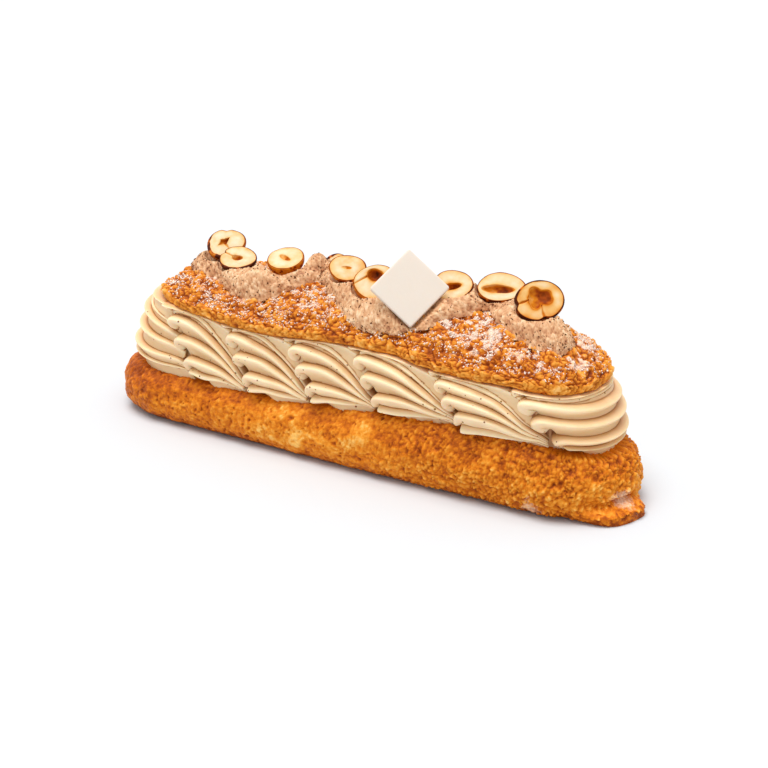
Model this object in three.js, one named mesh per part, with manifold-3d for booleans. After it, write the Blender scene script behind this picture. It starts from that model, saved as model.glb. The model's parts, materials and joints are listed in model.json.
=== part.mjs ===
// A long paris-brest: a choux base, two rows of piped praline cream, a craggy choux lid,
// a wavy rope of praline paste on the lid, hazelnut halves and a standing white chocolate tile.
// Millimetres, +Z up. X runs along the pastry, -Y is the front, and the origin is on the floor
// under the middle of its box.

import * as THREE from 'three';
import { ParametricGeometry } from 'three/addons/geometries/ParametricGeometry.js';
import { RoundedBoxGeometry } from 'three/addons/geometries/RoundedBoxGeometry.js';
import { mergeVertices } from 'three/addons/utils/BufferGeometryUtils.js';
import Module from 'manifold-3d';

const wasm = await Module();
wasm.setup();

// Fit between pieces, and the distance under which two corners are one
const GAP = 0.3;
const WELD = 1e-4;

// The crossed waves of a hand-made surface: how each one slants and how fast it runs
const WAVES = { slantX: 0.6, slantY: 0.7, slantZ: 0.5, paceY: 1.3, paceZ: 0.8 };

// Choux base: a round-ended loaf, cut level on top, with a baked-out lip at the right front
const BASE = {
  plan: { leftEnd: -57, rightEnd: 55, leftRadius: 21, rightRadius: 18, lean: -1.5 },
  around: 90,
  rings: 10,
  widestHeight: 6.5,
  footInset: 5,
  shoulderRound: 10,
  shoulderAngle: THREE.MathUtils.degToRad(53),
  leftTop: 13,
  topRise: 3.8,
  riseFrom: -30,
  riseTo: 30,
  noseDroop: 4,
  droopFrom: 50,
  droopTo: 75,
  relief: 0.55,
  reliefWave: 8,
  reliefTurn: 1,
};

// The lip's reach, heights and crease, then where it starts, is full, fades and ends, in degrees
// round the right end with 0 at the nose and -90 at the front
const LIP = { reach: 5, top: 4.6, flat: 1.0, crease: 0.8, from: -62, full: -36, fade: -4, to: 25 };

// Choux lid: a low dome with a thick rim, cut level below
const LID = {
  plan: { leftEnd: -45.3, rightEnd: 47, leftRadius: 18.2, rightRadius: 16.8, lean: -1 },
  around: 88,
  rings: 10,
  rimRings: 3,
  edgeHeight: 30.9,
  edgeWave: 1.0,
  edgeWaveLength: 62,
  edgeWaveCrest: 5,
  noseDroop: 3.2,
  droopFrom: 44,
  droopTo: 64,
  leftRise: 8.2,
  middleRise: 12.3,
  riseFrom: -58,
  riseTo: 12,
  rightFall: 2.7,
  fallFrom: 30,
  fallTo: 60,
  domeSpread: 2.1,
  domeRound: 0.9,
  underInset: 2.8,
  rimInset: 0.42,
  rimHeight: 2.6,
  rimSlope: 0.3,
  relief: 0.75,
  reliefWave: 6,
  reliefTurn: 2,
  rimRelief: 0.4,
  dentAt: 15,
  dentWidth: 3,
  dentDepth: 1.6,
};

// Piped cream: shells of a star nozzle round a loop, over a core that fills the middle
const LOOP = { centre: -1.7, half: 52.6, radius: 10.5 };
const SHELL = {
  outward: 8.7,
  ridges: 12,
  ridgeDepth: 1.3,
  along: 8,
  headLength: 5,
  headShare: 0.25,
  headSink: 0.4,
  taper: 0.34,
  taperBend: 1.2,
  buried: 9,
  buriedShrink: 0.8,
  slant: 0.85,
  lean: 0.2,
  noseLean: 0.45,
  foot: 1.8,
  noseFoot: 1.4,
  footBend: 3,
  fullness: 0.6,
  twist: 0.25,
  topOverlap: 0.8,
};

// Where the front shells start along X, the nose shell round its end, and how far the back row
// strays from the front one
const FRONT_HEADS = [-55, -36, -16.5, 3, 26, 48.5];
const NOSE_HEAD = 24;
const BACK_STRAY = { shift: 1, pace: 5, turn: 1 };
const CORE = { half: 46, halfWidth: 11.5, bottom: 8, height: 25.5, steps: 6 };

// Praline paste: one wavy rope along the crest of the lid
const ROPE = {
  front: [[-58, 0], [-44, -5.4], [-30, -9.4], [-16.5, 2.2], [-4, -6.5]],
  rear: [[8, -12], [20, -8], [31.5, 7], [45, -2], [56, -2]],
  halfWidth: 4.8,
  height: 5,
  sunk: 1.2,
  endRound: 0.09,
  around: 8,
  along: 38,
  relief: 0.12,
  reliefWave: 5,
  reliefTurn: 3,
  reliefAround: 4,
};

// Hazelnut halves: the shares of a half's width that shape it, then where each half sits, its
// length and width, and how its cut face is turned. facing is the face's azimuth from the front,
// tilt its rise from upright, roll its long axis.
const NUT = {
  around: 12,
  depth: 0.42,
  cavity: 0.26,
  cavityDepth: 0.16,
  cavityWall: [0.7, 0.6],
  faceRim: 0.92,
  rimDrop: 0.07,
  upperBack: [0.86, 0.24],
  lowerBack: [0.5, 0.38],
  tip: 0.07,
};
const NUTS = [
  { at: [-47.4, -0.5, 46.0], size: [10.4, 8.8], facing: 30, tilt: 52, roll: 20 },
  { at: [-40.2, -4.8, 44.2], size: [9.8, 7.9], facing: 40, tilt: 58, roll: 8 },
  { at: [-27.0, -2.0, 45.4], size: [9.6, 9.6], facing: 15, tilt: 60, roll: -8 },
  { at: [-6.6, -4.0, 47.0], size: [9.6, 7.6], facing: 25, tilt: 48, roll: -6 },
  { at: [-14.2, 3.0, 45.4], size: [10.0, 8.6], facing: 20, tilt: 50, roll: 10 },
  { at: [3.0, -8.0, 47.0], size: [10.4, 9.0], facing: 40, tilt: 48, roll: -30 },
  { at: [22.8, -0.5, 46.8], size: [10.8, 8.8], facing: 30, tilt: 50, roll: 15 },
  { at: [33.0, 3.5, 46.9], size: [11.8, 8.8], facing: 28, tilt: 54, roll: 4 },
  { at: [45.5, -0.5, 46.8], size: [12.2, 10.2], facing: 36, tilt: 36, roll: 12 },
];

// White chocolate tile: a square plaque that stands on one corner, pressed into the rope
const TILE = {
  side: 13.6,
  thickness: 2,
  round: 0.35,
  middle: [15.8, -10.1, 47.1],
  facing: 35,
  tilt: 30,
  roll: 45,
};

// Surface colours and gloss
const FINISH = {
  baseCrust: { color: 0xcd7b2b, roughness: 0.72, metalness: 0 },
  lidCrust: { color: 0xdb964f, roughness: 0.8, metalness: 0 },
  cream: { color: 0xe4c096, roughness: 0.5, metalness: 0 },
  paste: { color: 0xd2a47c, roughness: 0.7, metalness: 0 },
  kernel: { color: 0xf2d2a2, roughness: 0.55, metalness: 0 },
  whiteChocolate: { color: 0xf4e6d6, roughness: 0.4, metalness: 0 },
};

const { clamp, lerp, smoothstep, degToRad, radToDeg } = THREE.MathUtils;

// Slow swell of a hand-made surface, between -1 and 1: three crossed sine waves
function unevenness(x, y, z, wave, turn) {
  const k = (2 * Math.PI) / wave;
  const first = Math.sin((x + WAVES.slantX * y) * k + turn);
  const second = Math.sin((y + WAVES.slantY * z) * k * WAVES.paceY + 2 * turn);
  const third = Math.sin((z - WAVES.slantZ * x) * k * WAVES.paceZ + 3 * turn);
  return (first + second + third) / 3;
}

// Turns a closed three.js geometry into a solid: corners welded, collapsed triangles dropped
function solidOf(geometry) {
  geometry.deleteAttribute('normal');
  geometry.deleteAttribute('uv');
  const welded = mergeVertices(geometry, WELD);
  const index = welded.getIndex().array;
  const corners = [];
  for (let i = 0; i < index.length; i += 3) {
    const [a, b, c] = index.slice(i, i + 3);
    if (a !== b && b !== c && c !== a) corners.push(a, b, c);
  }
  const vertProperties = new Float32Array(welded.getAttribute('position').array);
  const triVerts = Uint32Array.from(corners);
  return new wasm.Manifold(new wasm.Mesh({ numProp: 3, vertProperties, triVerts }));
}

// A closed surface from a point function of two shares, both from 0 to 1
function closedSurface(point, across, along) {
  const put = (u, v, target) => target.set(...point(u % 1, v));
  return solidOf(new ParametricGeometry(put, across, along));
}

// The main body of a cut solid, without loose scraps
function largest(solid) {
  const pieces = solid.decompose();
  return pieces.reduce((best, piece) => (piece.volume() > best.volume() ? piece : best));
}

function meshOf(solid, name, finish) {
  const { vertProperties, triVerts } = solid.getMesh();
  const geometry = new THREE.BufferGeometry();
  geometry.setAttribute('position', new THREE.BufferAttribute(vertProperties, 3));
  geometry.setIndex(new THREE.BufferAttribute(triVerts, 1));
  geometry.computeVertexNormals();
  const mesh = new THREE.Mesh(geometry, new THREE.MeshStandardMaterial(finish));
  mesh.name = name;
  return mesh;
}

// One walk round a plan with round ends: left nose, front, right nose, back.
// Gives the point on the spine, the outward direction and the radius there.
function outlineAt(plan, u) {
  const side = u <= 0.5 ? -1 : 1;
  const leftArc = (plan.leftRadius * Math.PI) / 2;
  const rightArc = (plan.rightRadius * Math.PI) / 2;
  const straight = plan.rightEnd - plan.leftEnd;
  const run = Math.min(u, 1 - u) * 2 * (leftArc + straight + rightArc) - leftArc;
  const x = plan.leftEnd + clamp(run, 0, straight);
  const leftTurn = Math.PI / 2 + Math.min(run, 0) / plan.leftRadius;
  const rightTurn = Math.max(run - straight, 0) / plan.rightRadius;
  const nx = Math.sin(rightTurn) - Math.cos(leftTurn);
  const ny = side * Math.sin(leftTurn) * Math.cos(rightTurn);
  return { x, y: spineY(plan, x), nx, ny, radius: radiusAt(plan, x) };
}

function spineY(plan, x) {
  return plan.lean * smoothstep(x, 0, plan.rightEnd);
}

function radiusAt(plan, x) {
  return lerp(plan.leftRadius, plan.rightRadius, smoothstep(x, 0, plan.rightEnd));
}

// How far a point lies from the spine, as a share of the radius there
function spread(plan, x, y) {
  const onSpine = clamp(x, plan.leftEnd, plan.rightEnd);
  return Math.hypot(x - onSpine, y - spineY(plan, onSpine)) / radiusAt(plan, onSpine);
}

// Height of the base's cut top, which rises to the right and droops at the nose
function baseTop(x) {
  const rise = BASE.topRise * smoothstep(x, BASE.riseFrom, BASE.riseTo);
  return BASE.leftTop + rise - BASE.noseDroop * smoothstep(x, BASE.droopFrom, BASE.droopTo);
}

// Reach of the baked-out lip beyond the plan, and how much of it shows at an end angle
function lipReach(z) {
  return LIP.reach * (1 - smoothstep(z, LIP.flat, LIP.top));
}

function lipShare(at) {
  if (at.nx <= 0 || at.x < BASE.plan.rightEnd) return 0;
  const turn = radToDeg(Math.atan2(at.ny, at.nx));
  return smoothstep(turn, LIP.from, LIP.full) * (1 - smoothstep(turn, LIP.fade, LIP.to));
}

// Base surface: flat foot, quarter-round below, a long shoulder above, cut top.
// grow moves the whole surface outwards for a fitting cut.
function basePoint(u, v, grow) {
  const at = outlineAt(BASE.plan, u);
  const ring = Math.round(v * BASE.rings);
  const share = clamp((ring - 1) / (BASE.rings - 2), 0, 1);
  const angle = lerp(-Math.PI / 2, BASE.shoulderAngle, share);
  const round = angle < 0 ? BASE.footInset : BASE.shoulderRound;
  let reach = at.radius - round * (1 - Math.cos(angle));
  const top = baseTop(at.x + at.nx * reach);
  const upper = (top - BASE.widestHeight) / Math.sin(BASE.shoulderAngle);
  let z = BASE.widestHeight + Math.sin(angle) * (angle < 0 ? BASE.widestHeight : upper);
  const lip = lipShare(at);
  const lipped = at.radius + lipReach(z) - LIP.crease * smoothstep(z, LIP.flat, LIP.top);
  if (z < LIP.top) reach = lerp(reach, lipped, lip);
  if (share > 0 && share < 1) {
    const x = at.x + at.nx * reach;
    const y = at.ny * reach;
    reach += BASE.relief * unevenness(x, y, z, BASE.reliefWave, BASE.reliefTurn);
  }
  if (ring === 0 || ring === BASE.rings) reach = 0;
  else reach += grow;
  if (ring >= BASE.rings - 1) z += grow;
  if (ring <= 1) z -= grow;
  return [at.x + at.nx * reach, at.y + at.ny * reach, z];
}

// Height of the lid's cut underside: a slow wave that droops at the right nose
function lidEdge(x) {
  const wave = Math.cos(((x - LID.edgeWaveCrest) * 2 * Math.PI) / LID.edgeWaveLength);
  const droop = LID.noseDroop * smoothstep(x, LID.droopFrom, LID.droopTo);
  return LID.edgeHeight + LID.edgeWave * wave - droop;
}

// Height of the lid's dome above its underside, at a share of the way out from the spine
function lidDome(x, share) {
  const left = lerp(LID.leftRise, LID.middleRise, smoothstep(x, LID.riseFrom, LID.riseTo));
  const rise = left - LID.rightFall * smoothstep(x, LID.fallFrom, LID.fallTo);
  const fall = 1 - Math.pow(Math.min(share, 1), LID.domeSpread);
  return LID.rimHeight + (rise - LID.rimHeight) * Math.pow(fall, LID.domeRound);
}

// Step in the lid's front edge
function lidDent(at) {
  if (at.ny >= 0) return 0;
  return LID.dentDepth * Math.exp(-(((at.x - LID.dentAt) / LID.dentWidth) ** 2));
}

// Lid surface: level underside, a rounded rim, then the dome with its crags
function lidPoint(u, v, grow) {
  const at = outlineAt(LID.plan, u);
  const ring = Math.round(v * LID.rings);
  const radius = at.radius - lidDent(at);
  const inwards = clamp((ring - LID.rimRings) / (LID.rings - LID.rimRings), 0, 1);
  let share = Math.cos((inwards * Math.PI) / 2);
  if (ring === 1) share = 1 - LID.underInset / radius;
  if (ring === 2) share = 1 - LID.rimInset / radius;
  if (ring === 0 || ring === LID.rings) share = 0;
  let reach = share * radius;
  const x = at.x + at.nx * reach;
  const y = at.y + at.ny * reach;
  let z = lidEdge(x);
  if (ring === 2) z += LID.rimSlope * LID.rimHeight;
  if (ring >= LID.rimRings) {
    const crag = LID.relief * unevenness(x, y, z, LID.reliefWave, LID.reliefTurn);
    z += lidDome(x, share) + crag * lerp(LID.rimRelief, 1, inwards);
    reach += crag * share;
  }
  if (share > 0) reach += grow;
  if (ring >= LID.rimRings) z += grow;
  if (ring < 2) z -= grow;
  return [at.x + at.nx * reach, at.y + at.ny * reach, z];
}

// Top of the lid over any place in the plan
function lidTop(x, y) {
  return lidEdge(x) + lidDome(x, spread(LID.plan, x, y));
}

// The place on the cream's loop after a run along its axis, at a distance from the middle line
function loopPoint(run, out) {
  const straight = 2 * LOOP.half;
  const arc = Math.PI * LOOP.radius;
  const half = straight + arc;
  const total = 2 * half;
  const s = ((run % total) + total) % total;
  const sign = s < half ? 1 : -1;
  const along = s % half;
  const turn = Math.max(along - straight, 0) / LOOP.radius;
  const x = Math.min(along, straight) - LOOP.half + Math.sin(turn) * out;
  const y = -Math.cos(turn) * out;
  return [LOOP.centre + sign * x, sign * y];
}

// How far round an end the loop has turned: 0 on the straights, 1 at a nose
function noseShare(run) {
  const half = 2 * LOOP.half + Math.PI * LOOP.radius;
  const along = ((run % half) + half) % half;
  return Math.sin(Math.max(along - 2 * LOOP.half, 0) / LOOP.radius);
}

// Where the shells start along the loop: the front row, one on the nose, then the same turned round
function shellHeads() {
  const halfLoop = 2 * LOOP.half + Math.PI * LOOP.radius;
  const front = FRONT_HEADS.map((x) => x - LOOP.centre + LOOP.half);
  front.push(2 * LOOP.half + NOSE_HEAD);
  const stray = (i) => BACK_STRAY.shift * Math.sin(BACK_STRAY.pace * i + BACK_STRAY.turn);
  const starts = front.concat(front.map((s, i) => s + halfLoop + stray(i)));
  const ends = [...starts.slice(1), starts[0] + 2 * halfLoop];
  return starts.map((start, i) => ({ start, next: ends[i] }));
}

// One piped shell: a swollen head that starts low and hooks over, ridges that run down to a
// buried tail. Its section is a star whose corners are the nozzle's teeth, full at the foot.
function shellPoint(head, u, v) {
  const pitch = head.next - head.start;
  const headPart = Math.min(v / SHELL.headShare, 1);
  const tailPart = clamp((v - SHELL.headShare) / (1 - SHELL.headShare), 0, 1);
  const swell = Math.sqrt(1 - (1 - headPart) ** 2);
  const run = SHELL.headLength * headPart + (pitch + SHELL.buried - SHELL.headLength) * tailPart;
  const shown = Math.min(run / pitch, 1);
  const body = 1 - SHELL.taper * Math.pow(shown, SHELL.taperBend);
  const sunk = 1 - SHELL.buriedShrink * smoothstep(run, pitch, pitch + SHELL.buried);
  const size = v === 1 ? 0 : swell * body * sunk;
  const angle = -2 * Math.PI * u;
  const tooth = Math.abs(Math.cos((angle * SHELL.ridges) / 2));
  const star = size * (1 - (SHELL.ridgeDepth / SHELL.outward) * (1 - tooth));
  const turned = angle - SHELL.twist * shown;
  const [midX] = loopPoint(head.start + run, LOOP.radius);
  const floor = baseTop(midX);
  const tall = (lidEdge(midX) - floor) / 2 + SHELL.topOverlap;
  const lift = tall * star * Math.sin(turned);
  const middle = floor + tall * (body - SHELL.headSink * (1 - swell));
  const across = Math.cos(turned);
  const round = Math.sign(across) * Math.pow(Math.abs(across), SHELL.fullness);
  const nose = noseShare(head.start + run);
  const spill = Math.max(-Math.sin(turned), 0) ** SHELL.footBend * Math.sign(across);
  const foot = (SHELL.foot + SHELL.noseFoot * nose) * size * spill;
  const lean = SHELL.lean + SHELL.noseLean * nose;
  const out = LOOP.radius + SHELL.outward * star * round + foot - lean * lift;
  const [x, y] = loopPoint(head.start + run - SHELL.slant * lift, out);
  return [x, y, middle + lift];
}

// The cream's hidden middle, between the two rows of shells
function coreSolid() {
  const shape = new THREE.Shape();
  shape.absarc(CORE.half, 0, CORE.halfWidth, -Math.PI / 2, Math.PI / 2);
  shape.absarc(-CORE.half, 0, CORE.halfWidth, Math.PI / 2, (3 * Math.PI) / 2);
  const settings = { depth: CORE.height, bevelEnabled: false, curveSegments: CORE.steps };
  const geometry = new THREE.ExtrudeGeometry(shape, settings);
  return solidOf(geometry.translate(LOOP.centre, 0, CORE.bottom));
}

function creamSolid(grownBase, grownLid) {
  let cream = coreSolid();
  for (const head of shellHeads()) {
    const point = (u, v) => shellPoint(head, u, v);
    cream = cream.add(closedSurface(point, 2 * SHELL.ridges, SHELL.along));
  }
  return largest(cream.subtract(grownBase).subtract(grownLid));
}

// Rope surface: a half-round section carried square to the path and laid over the dome, with
// closed round ends
const ropeKnots = ROPE.front.concat(ROPE.rear).map(([x, y]) => new THREE.Vector2(x, y));
const ropePath = new THREE.SplineCurve(ropeKnots);

function ropePoint(u, v) {
  const middle = ropePath.getPoint(v);
  const heading = ropePath.getTangent(v);
  const fromEnd = Math.min(v, 1 - v, ROPE.endRound) / ROPE.endRound;
  const size = Math.sqrt(1 - (1 - fromEnd) ** 2);
  const angle = -2 * Math.PI * u;
  const round = ROPE.reliefAround * Math.sin(angle);
  const lump = unevenness(middle.x, round, middle.y, ROPE.reliefWave, ROPE.reliefTurn);
  const swell = size * (1 + ROPE.relief * lump);
  const sideways = ROPE.halfWidth * swell * Math.cos(angle);
  const x = middle.x + heading.y * sideways;
  const y = middle.y - heading.x * sideways;
  const rise = Math.sin(angle) > 0 ? ROPE.height : ROPE.sunk;
  return [x, y, lidTop(x, y) + rise * swell * Math.sin(angle)];
}

// Profile of a hazelnut half from the middle of its cut face to the middle of its back: shares of
// the half-width outwards and of the width upwards. hollow is the depth of the hollow in the face.
function nutProfile(hollow) {
  const [wallOut, wallDown] = NUT.cavityWall;
  const [upperOut, upperDown] = NUT.upperBack;
  const [lowerOut, lowerDown] = NUT.lowerBack;
  return [
    [0, -hollow],
    [NUT.cavity * wallOut, -hollow * wallDown],
    [NUT.cavity, 0],
    [NUT.faceRim, 0],
    [1, -NUT.rimDrop],
    [upperOut, -upperDown],
    [lowerOut, -lowerDown],
    [0, -NUT.depth],
  ];
}

function nutPoint(nut, profile, u, v) {
  const [out, rise] = profile[Math.round(v * (profile.length - 1))];
  const angle = 2 * Math.PI * u;
  const reach = (out * (1 + NUT.tip * Math.cos(angle) ** 3)) / 2;
  const [length, width] = nut.size;
  return [reach * length * Math.cos(angle), reach * width * Math.sin(angle), rise * width];
}

// Turns a piece whose face looks up +Z to its facing, tilt and roll, and moves it to its place
function placed(facing, tilt, roll, at) {
  const turn = new THREE.Matrix4().makeRotationZ(degToRad(roll));
  turn.premultiply(new THREE.Matrix4().makeRotationX(degToRad(90 - tilt)));
  turn.premultiply(new THREE.Matrix4().makeRotationZ(degToRad(facing)));
  return turn.setPosition(...at);
}

// A hazelnut half in its place. A grown one, for a fitting cut, has no hollow.
function nutSolid(nut, grow) {
  const [length, width] = nut.size;
  const profile = nutProfile(grow > 0 ? 0 : NUT.cavityDepth);
  const place = placed(nut.facing, nut.tilt, nut.roll, nut.at);
  const wider = (size) => 1 + (2 * grow) / size;
  const swell = new THREE.Vector3(wider(length), wider(width), wider(NUT.depth * width));
  const put = (u, v, target) => {
    target.set(...nutPoint(nut, profile, u % 1, 1 - v)).multiply(swell);
    target.z += grow;
    target.applyMatrix4(place);
  };
  return solidOf(new ParametricGeometry(put, NUT.around, profile.length - 1));
}

function tileSolid(grow) {
  const side = TILE.side + 2 * grow;
  const geometry = new RoundedBoxGeometry(side, side, TILE.thickness + 2 * grow, 1, TILE.round);
  const place = placed(TILE.facing, TILE.tilt, TILE.roll, TILE.middle);
  return solidOf(geometry.applyMatrix4(place));
}

const base = closedSurface((u, v) => basePoint(u, v, 0), BASE.around, BASE.rings);
const grownBase = closedSurface((u, v) => basePoint(u, v, GAP), BASE.around, BASE.rings);
const lid = closedSurface((u, v) => lidPoint(u, v, 0), LID.around, LID.rings);
const grownLid = closedSurface((u, v) => lidPoint(u, v, GAP), LID.around, LID.rings);
const cream = creamSolid(grownBase, grownLid);
const tile = largest(tileSolid(0).subtract(grownLid));

// The rope gives way to the lid below it and to what is pressed into it
let rope = closedSurface(ropePoint, ROPE.around, ROPE.along).subtract(grownLid);
rope = rope.subtract(tileSolid(GAP));
for (const nut of NUTS) rope = rope.subtract(nutSolid(nut, GAP));

const parisBrest = new THREE.Group();
parisBrest.name = 'paris_brest';
parisBrest.add(meshOf(base, 'choux_base', FINISH.baseCrust));
parisBrest.add(meshOf(cream, 'praline_cream', FINISH.cream));
parisBrest.add(meshOf(lid, 'choux_lid', FINISH.lidCrust));
parisBrest.add(meshOf(largest(rope), 'praline_rope', FINISH.paste));
NUTS.forEach((nut, i) => {
  const seated = largest(nutSolid(nut, 0).subtract(grownLid));
  parisBrest.add(meshOf(seated, `hazelnut_${i + 1}`, FINISH.kernel));
});
parisBrest.add(meshOf(tile, 'chocolate_tile', FINISH.whiteChocolate));

export default parisBrest;
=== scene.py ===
"""A long paris-brest, dressed: baked choux, piped praline cream, praline paste, hazelnuts and a tile.

Sizes are millimetres in the part's own frame (X along the pastry, -Y the front, +Z up) and become
metres as a mesh is made. Every surface is a grid of points worked out from a formula with numpy.
"""

import json
import logging
import math
from dataclasses import dataclass, replace
from enum import Enum
from itertools import product

import bmesh
import bpy
import numpy as np
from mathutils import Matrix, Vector

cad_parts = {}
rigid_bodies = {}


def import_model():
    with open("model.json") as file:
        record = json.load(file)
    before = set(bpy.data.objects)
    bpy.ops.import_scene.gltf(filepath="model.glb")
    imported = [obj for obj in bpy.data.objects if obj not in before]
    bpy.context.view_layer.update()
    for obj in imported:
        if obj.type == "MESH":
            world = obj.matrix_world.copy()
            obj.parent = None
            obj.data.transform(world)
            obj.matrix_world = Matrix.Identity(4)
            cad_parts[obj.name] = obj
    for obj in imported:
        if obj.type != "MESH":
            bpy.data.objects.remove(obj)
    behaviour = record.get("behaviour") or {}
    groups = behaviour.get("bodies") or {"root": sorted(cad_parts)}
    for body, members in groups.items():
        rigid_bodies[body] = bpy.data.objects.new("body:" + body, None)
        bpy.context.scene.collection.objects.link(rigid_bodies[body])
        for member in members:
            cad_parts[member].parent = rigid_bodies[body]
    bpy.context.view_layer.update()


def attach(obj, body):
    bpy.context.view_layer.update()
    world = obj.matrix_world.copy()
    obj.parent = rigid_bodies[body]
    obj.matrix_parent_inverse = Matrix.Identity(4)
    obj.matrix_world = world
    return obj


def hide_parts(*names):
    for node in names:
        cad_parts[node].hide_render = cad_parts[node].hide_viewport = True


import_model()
LOG = logging.getLogger("paris_brest")

Array = np.ndarray
Range = tuple[float, float]
Weights = tuple[tuple[str, float], ...]
MM = 1e-3
WELD = 1e-6
NEAR_ZERO = 1e-9

# Least and greatest share of a cube that a scattered grain's corners reach
GRAIN_CORNERS = (0.55, 1.0)

# Slant and pace of each of the three waves in a slow swell
SWELL_WAVES = ((0.6, 1.0), (0.7, 1.3), (-0.5, 0.8))

# Large odd numbers that mix a cell's three whole numbers into one draw
HASH_AXES = np.array([374761393, 668265263, 2147483629], np.int64)
HASH_SALT = 1274126177
HASH_FIRST = np.uint32(0x2C1B3C6D)
HASH_SECOND = np.uint32(0x297A2D39)


def ease(x: Array | float, low: float, high: float) -> Array:
    """Smooth step: 0 below low, 1 above high, an S-curve between."""
    t = np.clip((x - low) / (high - low), 0, 1)
    return t * t * (3 - 2 * t)


def blend(a: Array | float, b: Array | float, share: Array | float) -> Array:
    """Straight mix from a to b."""
    return a + (b - a) * share


def stacked(x: Array, y: Array, z: Array) -> Array:
    """Points from three arrays that may still have to be spread to one shape."""
    return np.stack(np.broadcast_arrays(x, y, z), axis=-1)


def draw(cells: Array, salt: int) -> Array:
    """Repeatable draw from 0 to 1 for each whole-numbered cell.

    The three numbers are multiplied by large odd numbers, added, and mixed by shifts and products.

    Args:
        cells: Whole numbers with x, y and z on the last axis.
        salt: Number that gives each pattern its own draws.

    Returns:
        One draw per cell.
    """
    mixed = ((cells * HASH_AXES).sum(axis=-1) + salt * HASH_SALT).astype(np.uint32)
    mixed = (mixed ^ (mixed >> np.uint32(15))) * HASH_FIRST
    mixed = (mixed ^ (mixed >> np.uint32(12))) * HASH_SECOND
    return (mixed ^ (mixed >> np.uint32(15))) / 2.0**32


def soft_noise(points: Array, wave: float, salt: int) -> Array:
    """Smooth noise from -1 to 1: draws at the corners of cubes, eased between them.

    Args:
        points: Points in millimetres, x, y and z on the last axis.
        wave: Side of the cubes.
        salt: Number of the pattern.

    Returns:
        One value per point.
    """
    scaled = points / wave
    cell = np.floor(scaled).astype(np.int64)
    part = scaled - cell
    part = part * part * (3 - 2 * part)
    total = np.zeros(points.shape[:-1])
    for corner in product((0, 1), repeat=3):
        weight = np.where(np.array(corner) == 1, part, 1 - part).prod(axis=-1)
        total += weight * draw(cell + np.array(corner), salt)
    return 2 * total - 1


@dataclass(frozen=True)
class Noise:
    """A pattern of soft noise: its largest waves in millimetres, its layers and its own salt."""

    wave: float
    layers: int
    salt: int

    def at(self, points: Array) -> Array:
        """Sum of soft noises, each with half the wave and half the strength of the last.

        Args:
            points: Points in millimetres.

        Returns:
            One value from -1 to 1 per point.
        """
        layers = range(self.layers)
        total = sum(soft_noise(points, self.wave / 2**i, self.salt + i) / 2**i for i in layers)
        return total / sum(0.5**i for i in layers)

    def bend(self, points: Array) -> Array:
        """Three soft noises as a vector that bends another pattern."""
        return np.stack([soft_noise(points, self.wave, self.salt + i) for i in range(3)], axis=-1)


@dataclass(frozen=True)
class Cells:
    """Grains strewn one to a cube: the cube's side, its salt, the grains' bend and their squeeze."""

    side: float
    salt: int
    bend: float = 0.0
    squeeze: tuple[float, float, float] = (1, 1, 1)

    def at(self, points: Array, warp: Array | float = 0.0) -> tuple[Array, Array, Array]:
        """Distances to the nearest and second nearest grain.

        Args:
            points: Points in millimetres.
            warp: Vectors that bend the pattern.

        Returns:
            Nearest distance, second nearest distance, both in cube sides, and the nearest grain's draw.
        """
        scaled = (points + self.bend * warp) * self.squeeze / self.side
        home = np.floor(scaled).astype(np.int64)
        nearest = np.full(points.shape[:-1], np.inf)
        second = nearest.copy()
        owner = np.zeros_like(nearest)
        for step in product((-1, 0, 1), repeat=3):
            cell = home + np.array(step)
            spot = cell + np.stack([draw(cell, self.salt + i) for i in range(3)], axis=-1)
            distance = np.linalg.norm(spot - scaled, axis=-1)
            owner = np.where(distance < nearest, draw(cell, self.salt + 3), owner)
            second = np.minimum(second, np.maximum(nearest, distance))
            nearest = np.minimum(nearest, distance)
        return nearest, second, owner


def weighed(layers: dict[str, Array], weights: Weights) -> Array:
    """Sum of named layers, each times its weight."""
    return sum(weight * layers[name] for name, weight in weights)


def zoned(zones: tuple[Array, ...], *values: Array | float) -> Array:
    """One grid of rows from the zones of a patch, each filled with its own value."""
    return np.concatenate([value + 0 * zone for zone, value in zip(zones, values)])


def crossed_waves(x: Array, y: Array, z: Array, wave: float, turn: float) -> Array:
    """Slow swell of a hand-made surface: the mean of three slanted sine waves.

    Args:
        x: First coordinates.
        y: Second coordinates.
        z: Third coordinates.
        wave: Length of the waves.
        turn: Phase that gives each surface its own swell.

    Returns:
        Values from -1 to 1.
    """
    k = 2 * math.pi / wave
    pairs = ((x, y), (y, z), (z, x))
    waves = (
        np.sin((a + slant * b) * k * pace + i * turn)
        for i, ((a, b), (slant, pace)) in enumerate(zip(pairs, SWELL_WAVES), start=1)
    )
    return sum(waves) / len(pairs)


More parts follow.
